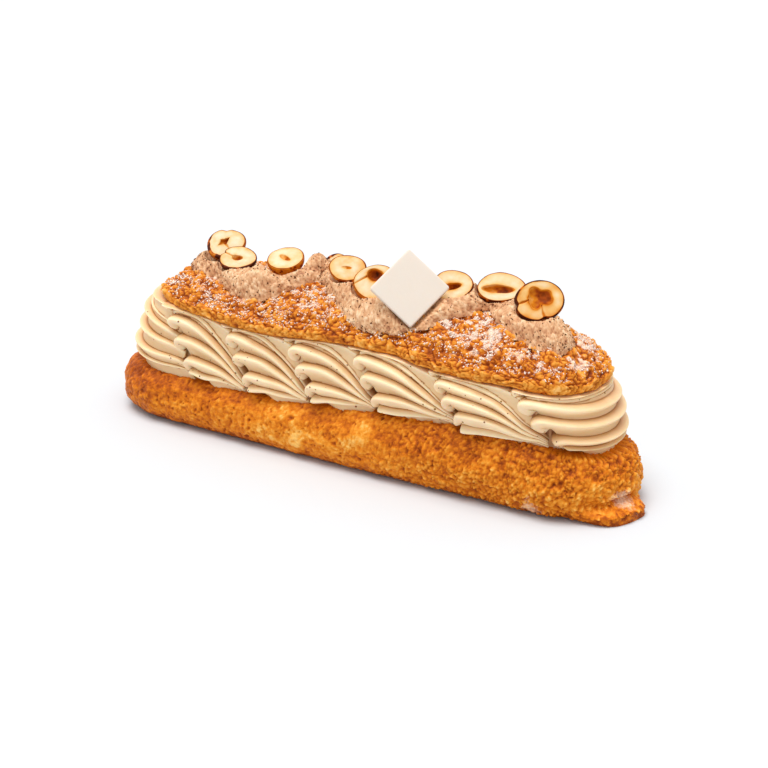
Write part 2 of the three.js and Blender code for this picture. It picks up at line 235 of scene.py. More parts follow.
@dataclass
class Patch:
    """A grid of points that closes across its columns, with both end rows drawn together.

    points has rows, columns and x, y, z; values are named numbers for each point.
    """

    points: Array
    values: dict[str, Array]

    def faces(self) -> Array:
        """Joins neighbouring points into cells, the last column to the first.

        Returns:
            Four corner numbers for each cell.
        """
        rows, columns = self.points.shape[:2]
        index = np.arange(rows * columns).reshape(rows, columns)
        beside = np.roll(index, -1, axis=1)
        corners = (index[:-1], beside[:-1], beside[1:], index[1:])
        return np.stack(corners, axis=-1).reshape(-1, 4)

    def normals(self) -> Array:
        """Directions square to the surface: the cross product of its steps around and along.

        Returns:
            One unit vector per point, away from the patch's own middle line.
        """
        along = np.gradient(self.points, axis=0)
        around = np.roll(self.points, -1, axis=1) - np.roll(self.points, 1, axis=1)
        square = np.cross(around, along)
        length = np.linalg.norm(square, axis=-1, keepdims=True)
        square = square / np.maximum(length, NEAR_ZERO)
        outward = self.points - self.points.mean(axis=1, keepdims=True)
        turned = np.sign((square * outward).sum(axis=-1, keepdims=True).sum(axis=1, keepdims=True))
        return square * np.where(turned == 0, 1, turned)


def make_mesh(name: str, points: Array, faces: Array, values: dict[str, Array]) -> bpy.types.Mesh:
    """Puts points and faces into a mesh, welds them, and turns the faces outwards.

    Args:
        name: Name of the mesh.
        points: Points in millimetres, one to a row.
        faces: Corner numbers of each face, one to a row.
        values: Named numbers for each point, kept as attributes that materials read.

    Returns:
        The finished mesh, smooth shaded.
    """
    mesh = bpy.data.meshes.new(name)
    corners = faces.shape[1]
    mesh.vertices.add(len(points))
    mesh.vertices.foreach_set("co", (points * MM).astype(np.float32).ravel())
    mesh.loops.add(faces.size)
    mesh.loops.foreach_set("vertex_index", faces.astype(np.int32).ravel())
    mesh.polygons.add(len(faces))
    mesh.polygons.foreach_set("loop_start", np.arange(0, faces.size, corners, dtype=np.int32))
    mesh.update(calc_edges=True)
    for title, numbers in values.items():
        attribute = mesh.attributes.new(title, "FLOAT", "POINT")
        attribute.data.foreach_set("value", numbers.astype(np.float32).ravel())
    work = bmesh.new()
    work.from_mesh(mesh)
    bmesh.ops.remove_doubles(work, verts=work.verts, dist=WELD)
    bmesh.ops.recalc_face_normals(work, faces=work.faces)
    work.to_mesh(mesh)
    work.free()
    mesh.polygons.foreach_set("use_smooth", np.ones(len(mesh.polygons), bool))
    return mesh


def make_piece(mesh: bpy.types.Mesh, finish: bpy.types.Material) -> bpy.types.Object:
    """Object at the origin that shows a mesh in one finish.

    Args:
        mesh: The mesh, which gives the object its name.
        finish: Its material.

    Returns:
        The object, linked to the scene.
    """
    piece = bpy.data.objects.new(mesh.name, mesh)
    bpy.context.scene.collection.objects.link(piece)
    mesh.materials.append(finish)
    return piece


def patch_piece(name: str, patch: Patch, finish: bpy.types.Material) -> bpy.types.Object:
    """Object made from one patch."""
    points = patch.points.reshape(-1, 3)
    return make_piece(make_mesh(name, points, patch.faces(), patch.values), finish)


def stand_for(piece: bpy.types.Object, slot: str, *nodes: str) -> None:
    """Hangs a piece on the frame in place of its solids and reports it.

    Args:
        piece: The finished object.
        slot: The record's material slot; not used.
        nodes: Solids that the piece stands for, none for loose crumbs.
    """
    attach(piece, "root")
    if nodes:
        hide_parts(*nodes)
    LOG.info("%s: %d faces", piece.name, len(piece.data.polygons))


def scatter(
    name: str, places: Array, normals: Array, sizes: Array, seed: int, squash: float = 0.35
) -> bpy.types.Mesh:
    """Joined mesh of small uneven grains, one at each place.

    A grain is an eight-cornered lump: the corners of a cube, pushed in and out by a seeded draw,
    turned at random and squashed along the surface's normal.

    Args:
        name: Name of the mesh.
        places: Middles of the grains.
        normals: Directions square to the surface at each place.
        sizes: Width of each grain.
        seed: Seed of the draws.
        squash: Share of its height that each grain loses.

    Returns:
        One mesh of all grains.
    """
    rng = np.random.default_rng(seed)
    count = len(places)
    cube = np.array(list(product((-1, 1), repeat=3)), float)
    quads = np.array([[0, 1, 3, 2], [4, 6, 7, 5], [0, 4, 5, 1], [2, 3, 7, 6], [0, 2, 6, 4], [1, 5, 7, 3]])
    lumps = cube * rng.uniform(*GRAIN_CORNERS, (count, 8, 3)) / 2
    turns = np.linalg.qr(rng.normal(size=(count, 3, 3)))[0]
    lumps = np.einsum("nij,nkj->nki", turns, lumps) * sizes[:, None, None]
    along = np.einsum("nki,ni->nk", lumps, normals)
    lumps -= squash * along[..., None] * normals[:, None, :]
    points = (places[:, None, :] + lumps).reshape(-1, 3)
    faces = (quads[None] + 8 * np.arange(count)[:, None, None]).reshape(-1, 4)
    return make_mesh(name, points, faces, {})


def linear(colour: str) -> tuple[float, float, float, float]:
    """Turns an sRGB hex colour to linear by the sRGB curve.

    Args:
        colour: Hex value such as "cd7b2b".

    Returns:
        Red, green, blue and full opacity.
    """
    parts = [int(colour[i : i + 2], 16) / 255 for i in (0, 2, 4)]
    red, green, blue = (p / 12.92 if p <= 0.04045 else ((p + 0.055) / 1.055) ** 2.4 for p in parts)
    return red, green, blue, 1.0


def add(tree: bpy.types.NodeTree, kind: str, sockets: dict, **settings: object) -> bpy.types.Node:
    """Adds a shader node with its settings, socket values and links.

    Args:
        tree: Node tree of the material.
        kind: Blender's name of the node.
        sockets: Socket name or number to a value, or to the output that feeds it.
        settings: Properties of the node; stops are a colour ramp's places and hex colours.

    Returns:
        The new node.
    """
    node = tree.nodes.new(kind)
    stops = settings.pop("stops", ())
    for title, value in settings.items():
        setattr(node, title, value)
    while 0 < len(stops) > len(node.color_ramp.elements):
        node.color_ramp.elements.new(1.0)
    for i, (place, colour) in enumerate(stops):
        node.color_ramp.elements[i].position = place
        node.color_ramp.elements[i].color = linear(colour)
    for title, value in sockets.items():
        if isinstance(value, bpy.types.NodeSocket):
            tree.links.new(value, node.inputs[title])
        else:
            node.inputs[title].default_value = value
    return node


@dataclass(frozen=True)
class Finish:
    """A food surface: colours along a ramp, fine mottling, grain and gloss.

    The ramp is read by the mesh's own shade value, from 0 in hollows to 1 on crests, with mottling
    of a real size added. dust is a second colour that the mesh's dust value lays on top.
    """

    name: str
    stops: tuple[tuple[float, str], ...]
    mottle: float
    mottle_mm: float
    grain: float
    grain_mm: float
    roughness: float
    flesh: float = 0.0
    flesh_mm: tuple[float, float, float] = (1.0, 0.5, 0.25)
    dust: str = ""
    dust_mm: float = 0.5
    specular: float = 0.5

    def material(self) -> bpy.types.Material:
        """Builds the material.

        Returns:
            A material whose patterns lie in the object's own coordinates.
        """
        made = bpy.data.materials.new(self.name)
        made.use_nodes = True
        tree = made.node_tree
        tree.nodes.clear()
        place = add(tree, "ShaderNodeTexCoord", {}).outputs["Object"]
        shade = add(tree, "ShaderNodeAttribute", {}, attribute_name="shade").outputs["Fac"]
        spots = {"Vector": place, "Scale": 1 / (self.mottle_mm * MM), "Detail": 3.0, "Roughness": 0.6}
        mottle = add(tree, "ShaderNodeTexNoise", spots).outputs["Fac"]
        swing = add(tree, "ShaderNodeMath", {0: mottle, 1: 0.5}, operation="SUBTRACT").outputs[0]
        read = add(
            tree, "ShaderNodeMath", {0: swing, 1: self.mottle, 2: shade}, operation="MULTIPLY_ADD"
        ).outputs[0]
        colour = add(tree, "ShaderNodeValToRGB", {"Fac": read}, stops=self.stops).outputs["Color"]
        if self.dust:
            colour = self.dusted(tree, place, colour)
        bits = {"Vector": place, "Scale": 1 / (self.grain_mm * MM), "Detail": 4.0}
        grain = add(tree, "ShaderNodeTexNoise", bits).outputs["Fac"]
        raised = {"Height": grain, "Strength": self.grain, "Distance": self.grain_mm * MM / 2}
        bump = add(tree, "ShaderNodeBump", raised).outputs["Normal"]
        gloss = {
            "Base Color": colour,
            "Normal": bump,
            "Roughness": self.roughness,
            "Specular IOR Level": self.specular,
            "Subsurface Weight": self.flesh,
            "Subsurface Radius": tuple(self.flesh_mm),
            "Subsurface Scale": MM,
        }
        shader = add(tree, "ShaderNodeBsdfPrincipled", gloss)
        add(tree, "ShaderNodeOutputMaterial", {"Surface": shader.outputs["BSDF"]})
        return made

    def dusted(
        self, tree: bpy.types.NodeTree, place: bpy.types.NodeSocket, colour: bpy.types.NodeSocket
    ) -> bpy.types.NodeSocket:
        """Lays fine powder over a colour.

        Args:
            tree: Node tree of the material.
            place: Object coordinates.
            colour: Colour of the bare surface.

        Returns:
            Colour with powder where the mesh's dust value is high, broken into fine flecks.
        """
        cover = add(tree, "ShaderNodeAttribute", {}, attribute_name="dust").outputs["Fac"]
        flecks = {"Vector": place, "Scale": 1 / (self.dust_mm * MM), "Detail": 3.0, "Roughness": 0.7}
        fleck = add(tree, "ShaderNodeTexNoise", flecks).outputs["Fac"]
        heap = add(tree, "ShaderNodeMath", {0: fleck, 1: cover}, operation="ADD").outputs[0]
        limits = {"Value": heap, "From Min": 0.75, "From Max": 1.15, "To Min": 0.0, "To Max": 0.7}
        share = add(tree, "ShaderNodeMapRange", limits).outputs["Result"]
        layers = {"Factor": share, "A": colour, "B": linear(self.dust)}
        return add(tree, "ShaderNodeMix", layers, data_type="RGBA").outputs["Result"]


# Baked choux: a dry egg-glazed crust, golden on the swells and brown in its pores
BASE_CRUST = Finish(
    name="baked_choux_base",
    stops=((0.0, "8a3a04"), (0.25, "b65806"), (0.5, "db7a0e"), (0.75, "ef9a2e"), (1.0, "fbc266")),
    mottle=0.6, mottle_mm=0.7, grain=1.0, grain_mm=0.5, roughness=0.5, specular=0.15,
    dust="f3d9c0", dust_mm=0.6,
)

# Crumbly baked topping: matt sugary nuggets, orange-brown between them, white powder on top
LID_CRUST = Finish(
    name="baked_choux_lid",
    stops=((0.0, "7a3004"), (0.25, "b85c0c"), (0.5, "e08a26"), (0.75, "f0a646"), (1.0, "fac67a")),
    mottle=0.45, mottle_mm=0.9, grain=0.6, grain_mm=0.4, roughness=0.55, specular=0.15,
    dust="ffeddd", dust_mm=0.4,
)

# Whipped praline cream: dense and satin, so light goes a little way in and softens the grooves; its ramp
# also carries painted light on the beads and painted shade on the flanks
CREAM = Finish(
    name="whipped_praline_cream",
    stops=((0.0, "a86c36"), (0.25, "ce9860"), (0.55, "e2b684"), (0.8, "eac898"), (1.0, "f6deb8")),
    mottle=0.25, mottle_mm=6.0, grain=0.12, grain_mm=0.6, roughness=0.42,
    flesh=0.35, flesh_mm=(1.6, 0.9, 0.45), specular=0.4,
)

# Ground praline paste: grainy and dull, pinkish beige with pale nut grains
PASTE = Finish(
    name="ground_praline_paste",
    stops=((0.0, "94583a"), (0.3, "ca9266"), (0.6, "e3b68b"), (1.0, "f9deba")),
    mottle=0.6, mottle_mm=0.7, grain=0.5, grain_mm=0.35, roughness=0.55, specular=0.25,
    flesh=0.1, flesh_mm=(1.0, 0.6, 0.3),
)

# Roasted hazelnut skin ground into the paste: matt dark flakes
SKIN_CRUMB = Finish(
    name="ground_hazelnut_skin", stops=((0.0, "5e3820"), (0.35, "a06a44")),
    mottle=0.8, mottle_mm=1.5, grain=0.3, grain_mm=0.2, roughness=0.6, specular=0.05,
)

# Specks of nut skin wetted by the cream: soft brown, lying flat in it
CREAM_FLECK = replace(SKIN_CRUMB, name="nut_skin_in_cream", stops=((0.0, "8e5c30"), (0.35, "b98450")))

# Roasted hazelnut: waxy pale flesh, toasted in the hollow and round the rim, thin dark skin; the hollow also
# carries painted shade
KERNEL = Finish(
    name="roasted_hazelnut",
    stops=(
        (0.0, "240b03"), (0.16, "521d04"), (0.32, "a04506"),
        (0.5, "d07c16"), (0.7, "e0b06a"), (1.0, "e8d4b2"),
    ),
    mottle=0.2, mottle_mm=1.6, grain=0.2, grain_mm=0.4, roughness=0.5, specular=0.08,
    flesh=0.1, flesh_mm=(1.2, 0.7, 0.35),
)

# White chocolate: smooth and faintly glossy where it set against a film
TILE_CHOCOLATE = Finish(
    name="white_chocolate", stops=((0.0, "d8cbbb"), (1.0, "e2d6c9")),
    mottle=0.3, mottle_mm=5.0, grain=0.05, grain_mm=1.0, roughness=0.3,
    flesh=0.2, flesh_mm=(1.5, 1.1, 0.8),
)

# Icing sugar: fine dry powder in tiny clumps
SUGAR = Finish(
    name="icing_sugar", stops=((0.0, "ffefdf"), (1.0, "fff6ec")),
    mottle=0.4, mottle_mm=2.0, grain=0.2, grain_mm=0.2, roughness=0.8,
    flesh=0.2, flesh_mm=(0.4, 0.35, 0.3),
)


@dataclass(frozen=True)
class Plan:
    """Outline seen from above: two round ends joined by straight sides, with a leaning right end."""

    left_end: float
    right_end: float
    left_radius: float
    right_radius: float
    lean: float

    def spine(self, x: Array) -> Array:
        """Y of the middle line, which leans off along an S-curve from the middle to the right end."""
        return self.lean * ease(x, 0, self.right_end)

    def radius(self, x: Array) -> Array:
        """Half the width along the middle line: an S-curve from the left radius to the right one."""
        return blend(self.left_radius, self.right_radius, ease(x, 0, self.right_end))

    def walk(self, u: Array) -> tuple[Array, Array, Array, Array]:
        """One walk round the outline: left nose, front, right nose, back.

        Each half is a quarter circle, a straight and another quarter circle, walked at an even pace.

        Args:
            u: Shares of the way round.

        Returns:
            X on the middle line, the two parts of the outward direction, and the radius there.
        """
        left_arc = self.left_radius * math.pi / 2
        right_arc = self.right_radius * math.pi / 2
        straight = self.right_end - self.left_end
        run = np.minimum(u, 1 - u) * 2 * (left_arc + straight + right_arc) - left_arc
        x = self.left_end + np.clip(run, 0, straight)
        left_turn = math.pi / 2 + np.minimum(run, 0) / self.left_radius
        right_turn = np.maximum(run - straight, 0) / self.right_radius
        nx = np.sin(right_turn) - np.cos(left_turn)
        ny = np.where(u <= 0.5, -1, 1) * np.sin(left_turn) * np.cos(right_turn)
        return x, nx, ny, self.radius(x)

    def spread(self, x: Array, y: Array) -> Array:
        """Distance from the middle line as a share of the radius there."""
        on_spine = np.clip(x, self.left_end, self.right_end)
        return np.hypot(x - on_spine, y - self.spine(on_spine)) / self.radius(on_spine)


@dataclass(frozen=True)
class Base:
    """Lower half of the choux: a round-ended loaf with a baked-out lip at the right front.

    Ranges named run lie along X, and those named rise, foot or top are heights; relief and tones
    weigh the layers of the crust.
    """

    plan: Plan = Plan(-57, 55, 21, 18, -1.5)
    columns: int = 960
    foot_rows: int = 8
    side_rows: int = 72
    top_rows: int = 10
    widest: float = 6.5
    foot_inset: float = 5
    shoulder_round: float = 10
    shoulder: float = math.radians(53)
    left_top: float = 13
    top_rise: float = 3.8
    nose_droop: float = 4
    rise_run: Range = (-30, 30)
    droop_run: Range = (50, 75)
    swell: float = 0.4
    swell_wave: float = 8
    foot_shade: float = 0.2
    top_shade: float = 0.5
    lip_reach: float = 3.7
    lip_top: float = 4.6
    lip_flat: float = 2.0
    lip_crease: float = 1.2
    lip_soft: float = 0.7
    lip_turns: tuple[float, float, float, float] = (-64, -26, -4, 14)
    calm_foot: float = 2.0
    calm_shoulder: float = 0.8
    smooth_foot: float = 1.5
    warp: Noise = Noise(2.0, 1, 40)
    scales: Cells = Cells(1.05, 50, bend=0.8)
    least_scale: float = 0.3
    crack_width: Range = (0.02, 0.35)
    cracking: Noise = Noise(3.0, 2, 45)
    cracking_range: Range = (-0.8, 0.2)
    coarsening: Noise = Noise(14.0, 1, 46)
    coarse_stray: float = 10
    coarse_run: Range = (-10, 55)
    least_coarse: float = 0.3
    pores: Cells = Cells(1.5, 60, bend=1.1)
    least_pore: float = 0.1
    pore_spread: float = 0.42
    pore_edge: Range = (0.3, 1.0)
    rough: Noise = Noise(4.0, 4, 70)
    fine: Noise = Noise(0.8, 2, 80)
    patches: Noise = Noise(11.0, 3, 90)
    pale_rough: float = 0.4
    pale_range: Range = (0.05, 0.6)
    pale_run: tuple[float, float, float, float] = (-45, -15, 25, 50)
    pale_foot: Range = (2, 4)
    foot_rise: Range = (0, 4)
    shoulder_rise: Range = (7, 12)
    shoulder_darkening: float = 0.5
    left_run: Range = (-62, -20)
    right_run: Range = (25, 55)
    spilling: Noise = Noise(6.0, 1, 95)
    spill_range: Range = (0.5, 0.9)
    spill_run: Range = (28, 40)
    spill_top: Range = (5.5, 8)
    spill: float = 0.55
    relief: Weights = (("rough", 0.2), ("scale", 0.6), ("crack", -0.4), ("hole", -0.4), ("fine", 0.14))
    tone: float = 0.23
    tones: Weights = (
        ("height", 0.32), ("patches", 0.13), ("rough", 0.18), ("fine", 0.34), ("scale", 0.28),
        ("pale", 0.3), ("crack", -0.28), ("hole", -0.36), ("left", -0.18), ("right", -0.05),
    )

    def top(self, x: Array) -> Array:
        """Height of the cut top, which rises to the right and droops at the nose."""
        rise = self.top_rise * ease(x, *self.rise_run)
        return self.left_top + rise - self.nose_droop * ease(x, *self.droop_run)

    def rest(self, x: Array, y: Array) -> Array:
        """Height of the smooth crust under any place in the plan: the cut top, then the shoulder.

        The shoulder is part of an ellipse: its rise is the sine of an angle whose cosine falls with
        the way in from the outline.

        Args:
            x: Places along the pastry.
            y: Places across it.

        Returns:
            One height per place.
        """
        inset = (1 - self.plan.spread(x, y)) * self.plan.radius(x)
        widest_inset = self.shoulder_round * (1 - math.cos(self.shoulder))
        cosine = 1 - np.clip(inset, 0, widest_inset) / self.shoulder_round
        share = np.sqrt(1 - cosine**2) / math.sin(self.shoulder)
        return blend(self.widest, self.top(x), share)

    def lip(self, x: Array, nx: Array, ny: Array) -> Array:
        """Share of the lip that shows: one S-curve up and one down by the turn round the right end.

        Args:
            x: Places on the middle line.
            nx: Outward direction along the pastry.
            ny: Outward direction across it.

        Returns:
            One share per place, 0 away from the right end.
        """
        start, full, fade, end = self.lip_turns
        turn = np.degrees(np.arctan2(ny, nx))
        share = ease(turn, start, full) * (1 - ease(turn, fade, end))
        return np.where((nx > 0) & (x >= self.plan.right_end), share, 0)

    def patch(self) -> Patch:
        """Crust surface: flat foot, quarter-round below, long shoulder above, cut top.

        The side follows an ellipse quarter below the widest height and a longer one above it. Crust
        relief moves each point square to that section: slow swells, fine scales that grow coarser
        to the right, and small pores.

        Returns:
            The closed surface with its shade and dust values.
        """
        x, nx, ny, radius = self.plan.walk(np.arange(self.columns) / self.columns)
        turn = np.linspace(-math.pi / 2, self.shoulder, self.side_rows)[:, None]
        inset = np.where(turn < 0, self.foot_inset, self.shoulder_round) * (1 - np.cos(turn))
        reach = radius - inset
        upper = (self.top(x + nx * reach) - self.widest) / math.sin(self.shoulder)
        z = self.widest + np.sin(turn) * np.where(turn < 0, self.widest, upper)
        rise = ease(z, self.lip_flat, self.lip_top)
        lipped = radius + self.lip_reach * (1 - rise) - self.lip_crease * rise
        under = 1 - ease(z, self.lip_top, self.lip_top + self.lip_soft)
        reach = blend(reach, lipped, self.lip(x, nx, ny) * under)
        px = x + nx * reach
        swell = self.swell * crossed_waves(px, ny * reach, z, self.swell_wave, 1)
        swell = swell * ease(z, 0, self.calm_foot)
        reach = reach + swell * (1 - ease(turn, self.calm_shoulder, self.shoulder))
        points = stacked(x + nx * reach, self.plan.spine(x) + ny * reach, z)
        relief, shade, dust = self.crust(points)
        relief = relief * ease(z, 0, self.smooth_foot)
        normal = stacked(nx * np.cos(turn), ny * np.cos(turn), np.sin(turn))
        side = points + normal * relief[..., None]
        middle = stacked(x, self.plan.spine(x), np.zeros_like(x))
        foot_share = np.linspace(0, 1, self.foot_rows, endpoint=False)[:, None, None]
        foot = blend(middle, side[0], foot_share)
        top_middle = stacked(x, self.plan.spine(x), self.top(x))
        top = blend(side[-1], top_middle, np.linspace(0, 1, self.top_rows + 1)[1:, None, None])
        under = np.zeros((self.foot_rows, self.columns))
        crumb = np.zeros((self.top_rows, self.columns))
        shade = np.concatenate([under + self.foot_shade, shade, crumb + self.top_shade])
        dust = np.concatenate([under, dust, crumb])
        return Patch(np.concatenate([foot, side, top]), {"shade": shade, "dust": dust})

    def crust(self, points: Array) -> tuple[Array, Array, Array]:
        """Relief and tone of the crust.

        Each is a sum of weighed layers: scales that bulge between cracks and grow coarser to the
        right, round pores, rough and fine noise, and for the tone also pale patches in the middle
        and stretches that are darker at the foot, the shoulder and both ends.

        Args:
            points: Points on the smooth surface.

        Returns:
            Outward relief, shade from 0 in pores to 1 on pale swells, and spilt powder.
        """
        x, z = points[..., 0], points[..., 2]
        warp = self.warp.bend(points)
        near, second, tall = self.scales.at(points, warp)
        pore, _, size = self.pores.at(points, warp)
        rough, patches = self.rough.at(points), self.patches.at(points)
        stray = self.coarse_stray * self.coarsening.at(points)
        coarse = blend(self.least_coarse, 1, ease(x + stray, *self.coarse_run))
        crack = 1 - ease(second - near, *self.crack_width)
        crack = crack * ease(self.cracking.at(points), *self.cracking_range)
        shoulder = self.shoulder_darkening * ease(z, *self.shoulder_rise)
        begin, full, fade, end = self.pale_run
        pale = ease(patches + self.pale_rough * rough, *self.pale_range) * ease(z, *self.pale_foot)
        layers = {
            "rough": rough,
            "fine": self.fine.at(points),
            "patches": patches,
            "scale": (1 - near**2) * (self.least_scale + tall) * coarse,
            "crack": crack * coarse,
            "hole": 1 - ease(pore / (self.least_pore + self.pore_spread * size**2), *self.pore_edge),
            "height": ease(z, *self.foot_rise) * (1 - shoulder),
            "pale": pale * ease(x, begin, full) * (1 - ease(x, fade, end)),
            "left": 1 - ease(x, *self.left_run),
            "right": ease(x, *self.right_run),
        }
        powder = ease(self.spilling.at(points), *self.spill_range) * ease(x, *self.spill_run)
        powder = self.spill * powder * (1 - ease(z, *self.spill_top))
        return weighed(layers, self.relief), np.clip(self.tone + weighed(layers, self.tones), 0, 1), powder

    def dress(self) -> bpy.types.Object:
        """Builds the crust and hangs it on the frame.

        Returns:
            The crust.
        """
        piece = patch_piece("choux_base_crust", self.patch(), BASE_CRUST.material())
        stand_for(piece, "base_crust", "choux_base")
        return piece


@dataclass(frozen=True)
class Lid:
    """Upper half of the choux: a low craggy dome with a thick crumbly rim.

    Ranges named run lie along X, and fields that end in _in are shares of the way in from the rim;
    relief and tones weigh the layers of the crust.
    """

    plan: Plan = Plan(-45.3, 47, 18.2, 16.8, -1)
    columns: int = 940
    under_rows: int = 6
    rim_rows: int = 14
    dome_rows: int = 76
    edge_height: float = 30.9
    edge_wave: float = 1.0
    edge_wave_length: float = 62
    edge_wave_crest: float = 5
    nose_droop: float = 3.2
    droop_run: Range = (44, 64)
    left_rise: float = 8.2
    middle_rise: float = 12.3
    right_fall: float = 2.7
    rise_run: Range = (-58, 12)
    fall_run: Range = (30, 60)
    dome_spread: float = 2.1
    dome_round: float = 0.9
    under_inset: float = 2.8
    rim_height: float = 2.6
    swell: float = 0.75
    swell_wave: float = 6
    rim_swell: float = 0.4
    dent_at: float = 15
    dent_width: float = 3
    dent_depth: float = 1.6
    rim_bend: float = 1.5
    rim_up: float = 0.2
    dome_up: float = 0.9
    rim_relief: float = 0.95
    rim_relief_in: float = 0.12
    warp: Noise = Noise(2.2, 1, 140)
    nuggets: Cells = Cells(1.3, 150, bend=1.5, squeeze=(0.6, 1, 1))
    least_nugget: float = 0.45
    nugget_spread: float = 0.9
    gap_width: float = 0.28
    crumbs: Cells = Cells(0.7, 160, bend=0.9, squeeze=(0.6, 1, 1))
    small_gap_width: float = 0.3
    rough: Noise = Noise(3.2, 3, 170)
    fine: Noise = Noise(0.7, 2, 180)
    rim_gaps: float = 0.65
    rim_gaps_in: float = 0.25
    rim_pale_in: float = 0.1
    patches: Noise = Noise(9.0, 3, 190)
    patch_range: Range = (-0.5, 0.4)
    least_patch: float = 0.4
    clumping: Noise = Noise(1.5, 2, 195)
    clump_range: Range = (-0.3, 0.4)
    powder_in: Range = (0.1, 0.55)
    crest_range: Range = (0.2, 0.7)
    crest_rough: float = 0.5
    powder: float = 0.75
    sunk: float = 0.5
    relief: Weights = (("nugget", 0.55), ("crumb", 0.4), ("rough", 0.8), ("fine", 0.35), ("gap", -0.35))
    tone: float = 0.2
    tones: Weights = (
        ("nugget", 0.34), ("crumb", 0.24), ("rough", 0.22), ("fine", 0.14),
        ("dark_gap", -0.34), ("dark_small_gap", -0.22), ("rim", 0.1),
    )
    grains: int = 14500
    grain_seed: int = 7
    least_grain: float = 0.16
    grain_spread: float = 0.36
    grain_stray: float = 0.1
    grain_squash: float = 0.7
    grain_gap: float = 0.9
    sparse_run: Range = (24, 52)
    sparse: float = 0.65

    def edge(self, x: Array) -> Array:
        """Height of the cut underside: a slow wave that droops at the right nose."""
        wave = np.cos((x - self.edge_wave_crest) * 2 * math.pi / self.edge_wave_length)
        return self.edge_height + self.edge_wave * wave - self.nose_droop * ease(x, *self.droop_run)

    def dome(self, x: Array, share: Array) -> Array:
        """Height of the dome above its underside.

        The crown rises and falls along X in two S-curves; out from it the dome falls to the rim as
        one less a power of the way out, itself raised to a power.

        Args:
            x: Places along the pastry.
            share: Way out from the spine, 1 at the rim.

        Returns:
            One height per place.
        """
        rise = blend(self.left_rise, self.middle_rise, ease(x, *self.rise_run))
        rise = rise - self.right_fall * ease(x, *self.fall_run)
        fall = 1 - np.minimum(share, 1) ** self.dome_spread
        return self.rim_height + (rise - self.rim_height) * fall**self.dome_round

    def over(self, x: Array, y: Array) -> Array:
        """Top of the smooth dome over any place in the plan."""
        return self.edge(x) + self.dome(x, self.plan.spread(x, y))

    def patch(self) -> Patch:
        """Crust surface: level underside, a rounded rim, then the dome with its crags.

        Returns:
            The closed surface with its shade and dust values.
        """
        x, nx, ny, radius = self.plan.walk(np.arange(self.columns) / self.columns)
        dent = self.dent_depth * np.exp(-(((x - self.dent_at) / self.dent_width) ** 2))
        radius = radius - np.where(ny < 0, dent, 0)
        under = np.linspace(0, 1, self.under_rows, endpoint=False)[:, None] + 0 * radius
        curl = np.linspace(0, math.pi / 2, self.rim_rows, endpoint=False)[:, None] + 0 * radius
        inwards = np.linspace(0, 1, self.dome_rows)[:, None] + 0 * radius
        zones = (under, curl, inwards)
        rim_inset = self.under_inset / radius
        rim_share = 1 - rim_inset * (1 - np.sin(curl)) ** self.rim_bend
        share = zoned(zones, under * (1 - rim_inset), rim_share, np.cos(inwards * math.pi / 2))
        px, py = x + nx * share * radius, self.plan.spine(x) + ny * share * radius
        lift = zoned(zones, 0, self.rim_height * (1 - np.cos(curl)), 0)
        on_dome = zoned(zones, 0, 0, 1)
        inner = zoned(zones, 0, 0, inwards)
        rimward = zoned(zones, 0, np.sin(curl), 1)
        z = self.edge(px) + np.where(on_dome > 0, self.dome(px, share), lift)
        swell = self.swell * crossed_waves(px, py, self.edge(px), self.swell_wave, 2) * rimward
        out = share * radius + swell * share
        z = z + swell * blend(self.rim_swell, 1, inner) * on_dome
        points = stacked(x + nx * out, self.plan.spine(x) + ny * out, z)
        strength = rimward * blend(self.rim_relief, 1, ease(inner, 0, self.rim_relief_in))
        relief, shade, dust = self.crags(points, strength, inner)
        normal = stacked(nx * share, ny * share, blend(self.rim_up, self.dome_up, on_dome))
        normal /= np.linalg.norm(normal, axis=-1, keepdims=True)
        return Patch(points + normal * relief[..., None], {"shade": shade, "dust": dust})

    def crags(self, points: Array, strength: Array, inner: Array) -> tuple[Array, Array, Array]:
        """Relief and tone of the crumbly topping: nuggets of two sizes with crevices between.

        Args:
            points: Points on the smooth surface.
            strength: Share of the relief, less at the rim.
            inner: Way in from the rim, from 0 to 1.

        Returns:
            Outward relief, shade from 0 in crevices to 1 on crests, and powder.
        """
        warp = self.warp.bend(points)
        near, second, tall = self.nuggets.at(points, warp)
        small, small_next, _ = self.crumbs.at(points, warp)
        nugget = (1 - near**2) * (self.least_nugget + self.nugget_spread * tall)
        gap = 1 - ease(second - near, 0, self.gap_width)
        small_gap = 1 - ease(small_next - small, 0, self.small_gap_width)
        dark = blend(self.rim_gaps, 1, ease(inner, 0, self.rim_gaps_in))
        rough = self.rough.at(points)
        layers = {
            "nugget": nugget,
            "crumb": 1 - small**2,
            "rough": rough,
            "fine": self.fine.at(points),
            "gap": gap,
            "dark_gap": gap * dark,
            "dark_small_gap": small_gap * dark,
            "rim": 1 - ease(inner, 0, self.rim_pale_in),
        }
        cover = blend(self.least_patch, 1, ease(self.patches.at(points), *self.patch_range))
        cover = cover * ease(inner, *self.powder_in) * ease(self.clumping.at(points), *self.clump_range)
        cover = cover * ease(nugget + self.crest_rough * rough, *self.crest_range)
        relief = (weighed(layers, self.relief) - self.sunk) * strength
        shade = np.clip(self.tone + weighed(layers, self.tones), 0, 1)
        return relief, shade, self.powder * np.clip(cover, 0, 1)

    def dress(self, rope: "Rope") -> bpy.types.Object:
        """Builds the crust and the powder on it.

        Args:
            rope: The paste that keeps the powder off the crust below it.

        Returns:
            The crust.
        """
        patch = self.patch()
        piece = patch_piece("choux_lid_crust", patch, LID_CRUST.material())
        stand_for(piece, "lid_crust", "choux_lid")
        self.sugar(patch, rope)
        return piece

